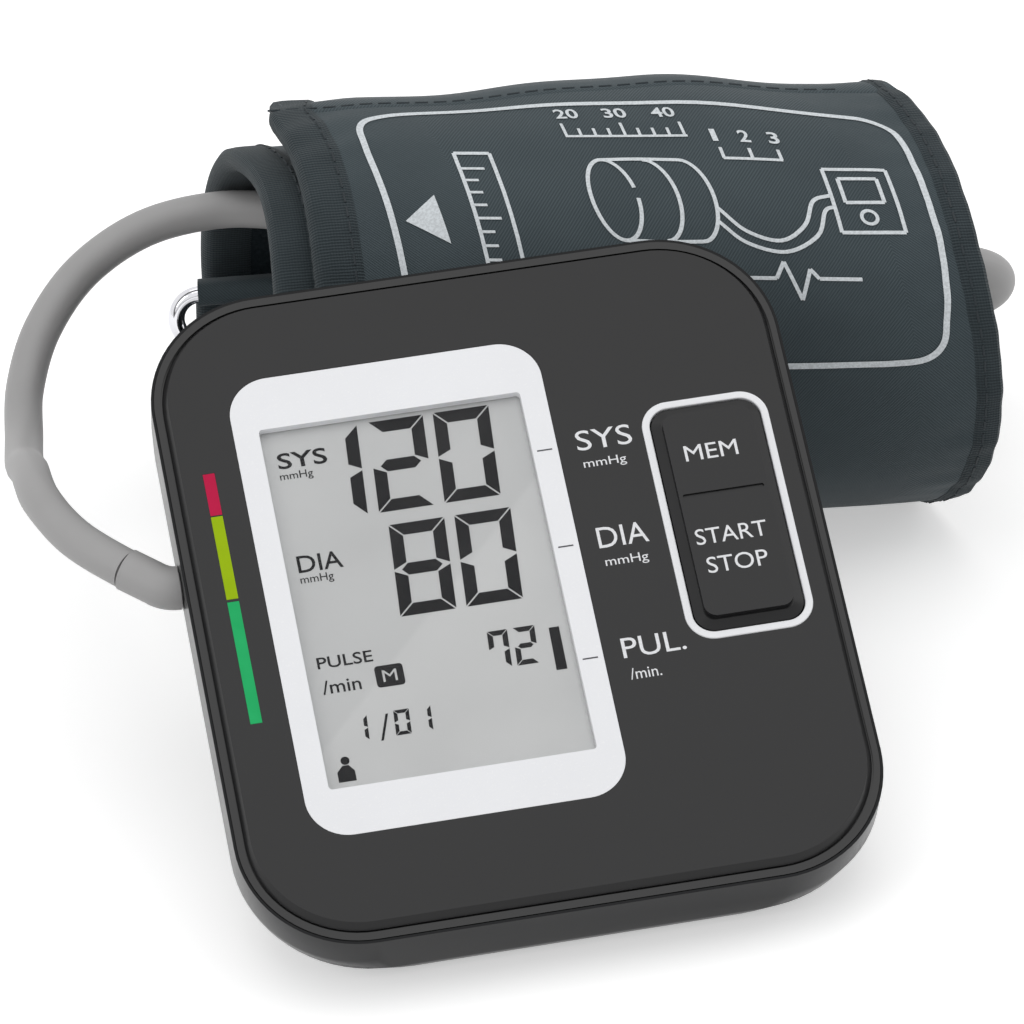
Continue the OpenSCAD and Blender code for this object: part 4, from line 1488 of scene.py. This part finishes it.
@dataclass
class CuffPrint:
    """White print on the outer face of the cuff: a border, a scale and a drawing of its own."""

    shape: CuffShape = field(default_factory=CuffShape)
    heavy: float = 1.3
    fine: float = 0.8
    thin: float = 0.7
    hair: float = 0.6
    cover: float = 0.2
    crest_cover: float = 0.22
    edge_cover: float = 0.18
    slope: Pair = (0.11, 0.09)
    pivot: Pair = (20.0, 45.0)
    rough_radius: float = 45.4
    form: Form = field(default_factory=lambda: Form(ROLL))
    border: tuple[Pair, ...] = (
        (-42.5, 16.9), (-37.0, 14.3), (-27.0, 13.5), (-10.0, 13.9), (7.5, 15.2), (30.0, 17.7),
        (52.0, 20.6), (59.0, 22.2), (62.5, 26.2), (62.5, 34.0), (61.5, 42.7), (60.0, 55.3),
        (58.6, 64.0), (57.0, 72.0), (55.4, 77.2), (51.5, 80.0), (45.0, 80.5), (38.0, 80.2),
        (24.5, 79.4), (0.0, 77.6), (-25.0, 75.8), (-43.0, 74.6), (-48.6, 72.4), (-50.2, 67.0),
        (-48.9, 60.0), (-48.0, 53.8), (-46.0, 37.9), (-44.6, 24.0),
    )

    def build(self) -> None:
        """Prints every line, patch and number."""
        form = self.form
        self.ribbon(self.border, self.heavy, closed=True)
        self.scale()
        self.ruler()
        self.drawing()
        for face in form.bm.faces:
            face.normal_update()
            middle = face.calc_center_median()
            if face.normal.dot(Vector((0, middle.y, middle.z))) < 0:
                face.normal_flip()
        form.finish("cuff_print", Body.CUFF, "cuff_ink", "cuff_fabric", even=False)

    def surface(self, along: float, girth: float, lift: float) -> Vector:
        """Place on the outer face of the cuff for a place of the print.

        Args:
            along: Place along the roll.
            girth: Distance from the free end, round the outer face.
            lift: Height over the cloth.

        Returns:
            The point in the roll's frame.
        """
        shape = self.shape
        angle = shape.free_angle - math.degrees(girth / self.rough_radius)
        for _ in range(3):
            mean = (shape.radius(angle) + shape.radius(shape.free_angle) + 2 * shape.half) / 2
            angle = shape.free_angle - math.degrees(girth / mean)
        return shape.spot(angle, shape.half + lift, along)

    def lean(self, points: Sequence[Pair]) -> list[Pair]:
        """Turns points of the drawing to the slope of the border."""
        (right, down), (across, girth) = self.slope, self.pivot
        return [(x - right * (y - girth), y + down * (x - across)) for x, y in points]

    def arc(self, centre: Pair, radii: Pair, first: float, last: float) -> list[Pair]:
        """Points on part of an ellipse.

        Args:
            centre: Its middle.
            radii: Its half width and half height.
            first: First angle in degrees.
            last: Last angle in degrees.

        Returns:
            The points in order.
        """
        count = max(6, math.ceil(abs(last - first) / 12))
        turns = [math.radians(first + (last - first) * index / count) for index in range(count + 1)]
        (x, y), (wide, tall) = centre, radii
        return [(x + wide * math.cos(turn), y + tall * math.sin(turn)) for turn in turns]

    def ribbon(self, points: Sequence[Pair], width: float, closed: bool = False) -> None:
        """Prints one smooth line through points on the cloth.

        Args:
            points: Places of the line.
            width: Its width in millimetres.
            closed: Whether it runs back to its start.
        """
        line = [Vector((*point, 0)) for point in points]
        if closed:
            fine = smooth_line([line[-1], *line, line[0], line[1]], 6)
            fine.append(fine[0].copy())
        else:
            fine = smooth_line([2 * line[0] - line[1], *line, 2 * line[-1] - line[-2]], 6) + [line[-1]]
        last = len(fine) - 1
        ways = []
        for index in range(last + 1):
            before = fine[index - 1] if index else fine[last - 1 if closed else 0]
            after = fine[index + 1] if index < last else fine[1 if closed else last]
            ways.append((after - before).normalized())
        self.stamp(bent_sheet(
            [-0.5, 0.0, 0.5], list(range(last + 1)),
            lambda side, index: self.surface(
                fine[index].x - ways[index].y * side * width, fine[index].y + ways[index].x * side * width,
                self.edge_cover if side else self.crest_cover,
            ),
            lambda side, index: (side * width, float(index)),
        ))

    def stamp(self, bm: bmesh.types.BMesh) -> None:
        """Moves a finished patch into the form of the print.

        Args:
            bm: The patch.
        """
        mesh = bpy.data.meshes.new("patch")
        bm.to_mesh(mesh)
        bm.free()
        self.form.absorb(mesh)

    def strokes(self, lines: Sequence[Sequence[Pair]], width: float) -> None:
        """Prints straight strokes between points, each corner sharp."""
        for line in lines:
            for first, last in zip(line, line[1:]):
                self.ribbon(self.lean([first, last]), width)

    def fill(self, corners: Sequence[Pair]) -> None:
        """Prints one filled patch with a few corners.

        Args:
            corners: Its corners in order.
        """
        patch = bmesh.new()
        face = patch.faces.new([patch.verts.new((x, y, 0)) for x, y in corners])
        bmesh.ops.triangulate(patch, faces=[face])
        bmesh.ops.subdivide_edges(patch, edges=patch.edges[:], cuts=3, use_grid_fill=True)
        for vert in patch.verts:
            vert.co = self.surface(vert.co.x, vert.co.y, self.cover)
        self.stamp(patch)

    def write(self, words: str, left: float, right: float, top: float, foot: float) -> None:
        """Prints a number on the cloth.

        Args:
            words: The number.
            left: Its left edge.
            right: Its right edge.
            top: Distance of its upper edge from the free end.
            foot: Distance of its lower edge from the free end.
        """
        mesh = word_mesh(Lettering(words, left, right, -foot, -top, 0.02), 0.0, 0.0)
        for vert in mesh.vertices:
            (x, y), = self.lean([(vert.co.x, -vert.co.y)])
            vert.co = self.surface(x, y, self.cover)
        self.form.absorb(mesh)

    def scale(self) -> None:
        """Prints the arrow and the upright scale at the left."""
        self.fill([(-44.0, 43.0), (-36.2, 37.6), (-36.8, 48.6)])
        left, right, top, foot = -29.5, -22.5, 32, 62
        sides = [[(left, top), (left, foot)], [(right, top), (right, foot)], [(left, top), (right, top)]]
        self.strokes(sides, self.fine)
        for index in range(9):
            reach, height = 4.6 if index % 4 == 0 else 2.6, 36 + index * 3
            self.strokes([[(-29.2, height), (-29.2 + reach, height)]], self.hair)

    def ruler(self) -> None:
        """Prints two short rulers with plain numbers."""
        for words, left in (("20", -6.0), ("30", 3.5), ("40", 13.0)):
            self.write(words, left, left + 4.6, 18.6, 21.8)
        self.strokes([[(-6.0, 27.2), (18.0, 27.2)]], self.hair)
        for index in range(9):
            place = -5.7 + index * 2.9
            self.strokes([[(place, 23.4 if index % 4 == 0 else 25.0), (place, 27.2)]], self.hair)
        for words, left, wide in (("1", 22.6, 1.1), ("2", 28.0, 2.2), ("3", 33.8, 2.2)):
            self.write(words, left, left + wide, 25.4, 28.6)
        for index in range(3):
            place = 23.4 + index * 5.7
            self.strokes([[(place, 30.2), (place, 33.0)]], self.thin)
        self.strokes([[(23.2, 33.0), (35.0, 33.0)]], self.thin)

    def drawing(self) -> None:
        """Prints a plain drawing: a rolled cuff, its hose, a small monitor and a pulse line."""
        ring = (4.6, 9.5)
        for line in (
            self.arc((-1.0, 43.0), ring, 0, 345),
            self.arc((14.0, 43.0), ring, -90, 90),
            [(-1.0, 33.5), (6.0, 33.3), (14.0, 33.5)],
            [(-1.0, 52.5), (6.0, 52.7), (14.0, 52.5)],
            self.arc((7.0, 43.0), ring, -90, 90),
            [(18.6, 45.0), (23.0, 50.0), (29.5, 52.0), (35.0, 48.5), (38.0, 43.0), (42.0, 41.5)],
            [(18.0, 48.0), (22.5, 52.5), (30.0, 54.4), (37.0, 50.8), (39.8, 45.3), (42.0, 44.2)],
        ):
            self.ribbon(self.lean(line), self.fine)
        self.strokes([
            [(42.0, 35.0), (54.5, 35.0), (54.5, 50.0), (42.0, 50.0), (42.0, 35.0)],
            [(44.4, 37.4), (52.0, 37.4), (52.0, 43.2), (44.4, 43.2), (44.4, 37.4)],
        ], self.fine)
        self.ribbon(self.lean(self.arc((48.2, 46.6), (1.5, 1.5), 0, 360)), self.thin)
        self.strokes([[
            (20.0, 60.0), (27.0, 60.0), (29.0, 56.5), (31.5, 64.5), (34.0, 58.0), (35.5, 60.0), (44.0, 60.0),
        ]], self.fine)


def main() -> None:
    """Builds the scene, group by group."""
    logging.basicConfig(level=logging.INFO, format="%(name)s: %(message)s")
    Studio().build()
    make_finishes()
    for group in (AirHose(), CaseGroup(), FaceGroup(), KeyGroup(), CuffGroup(), CuffPrint()):
        group.build()
        LOG.info("built %s", type(group).__name__)


if __name__ == "__main__":
    main()
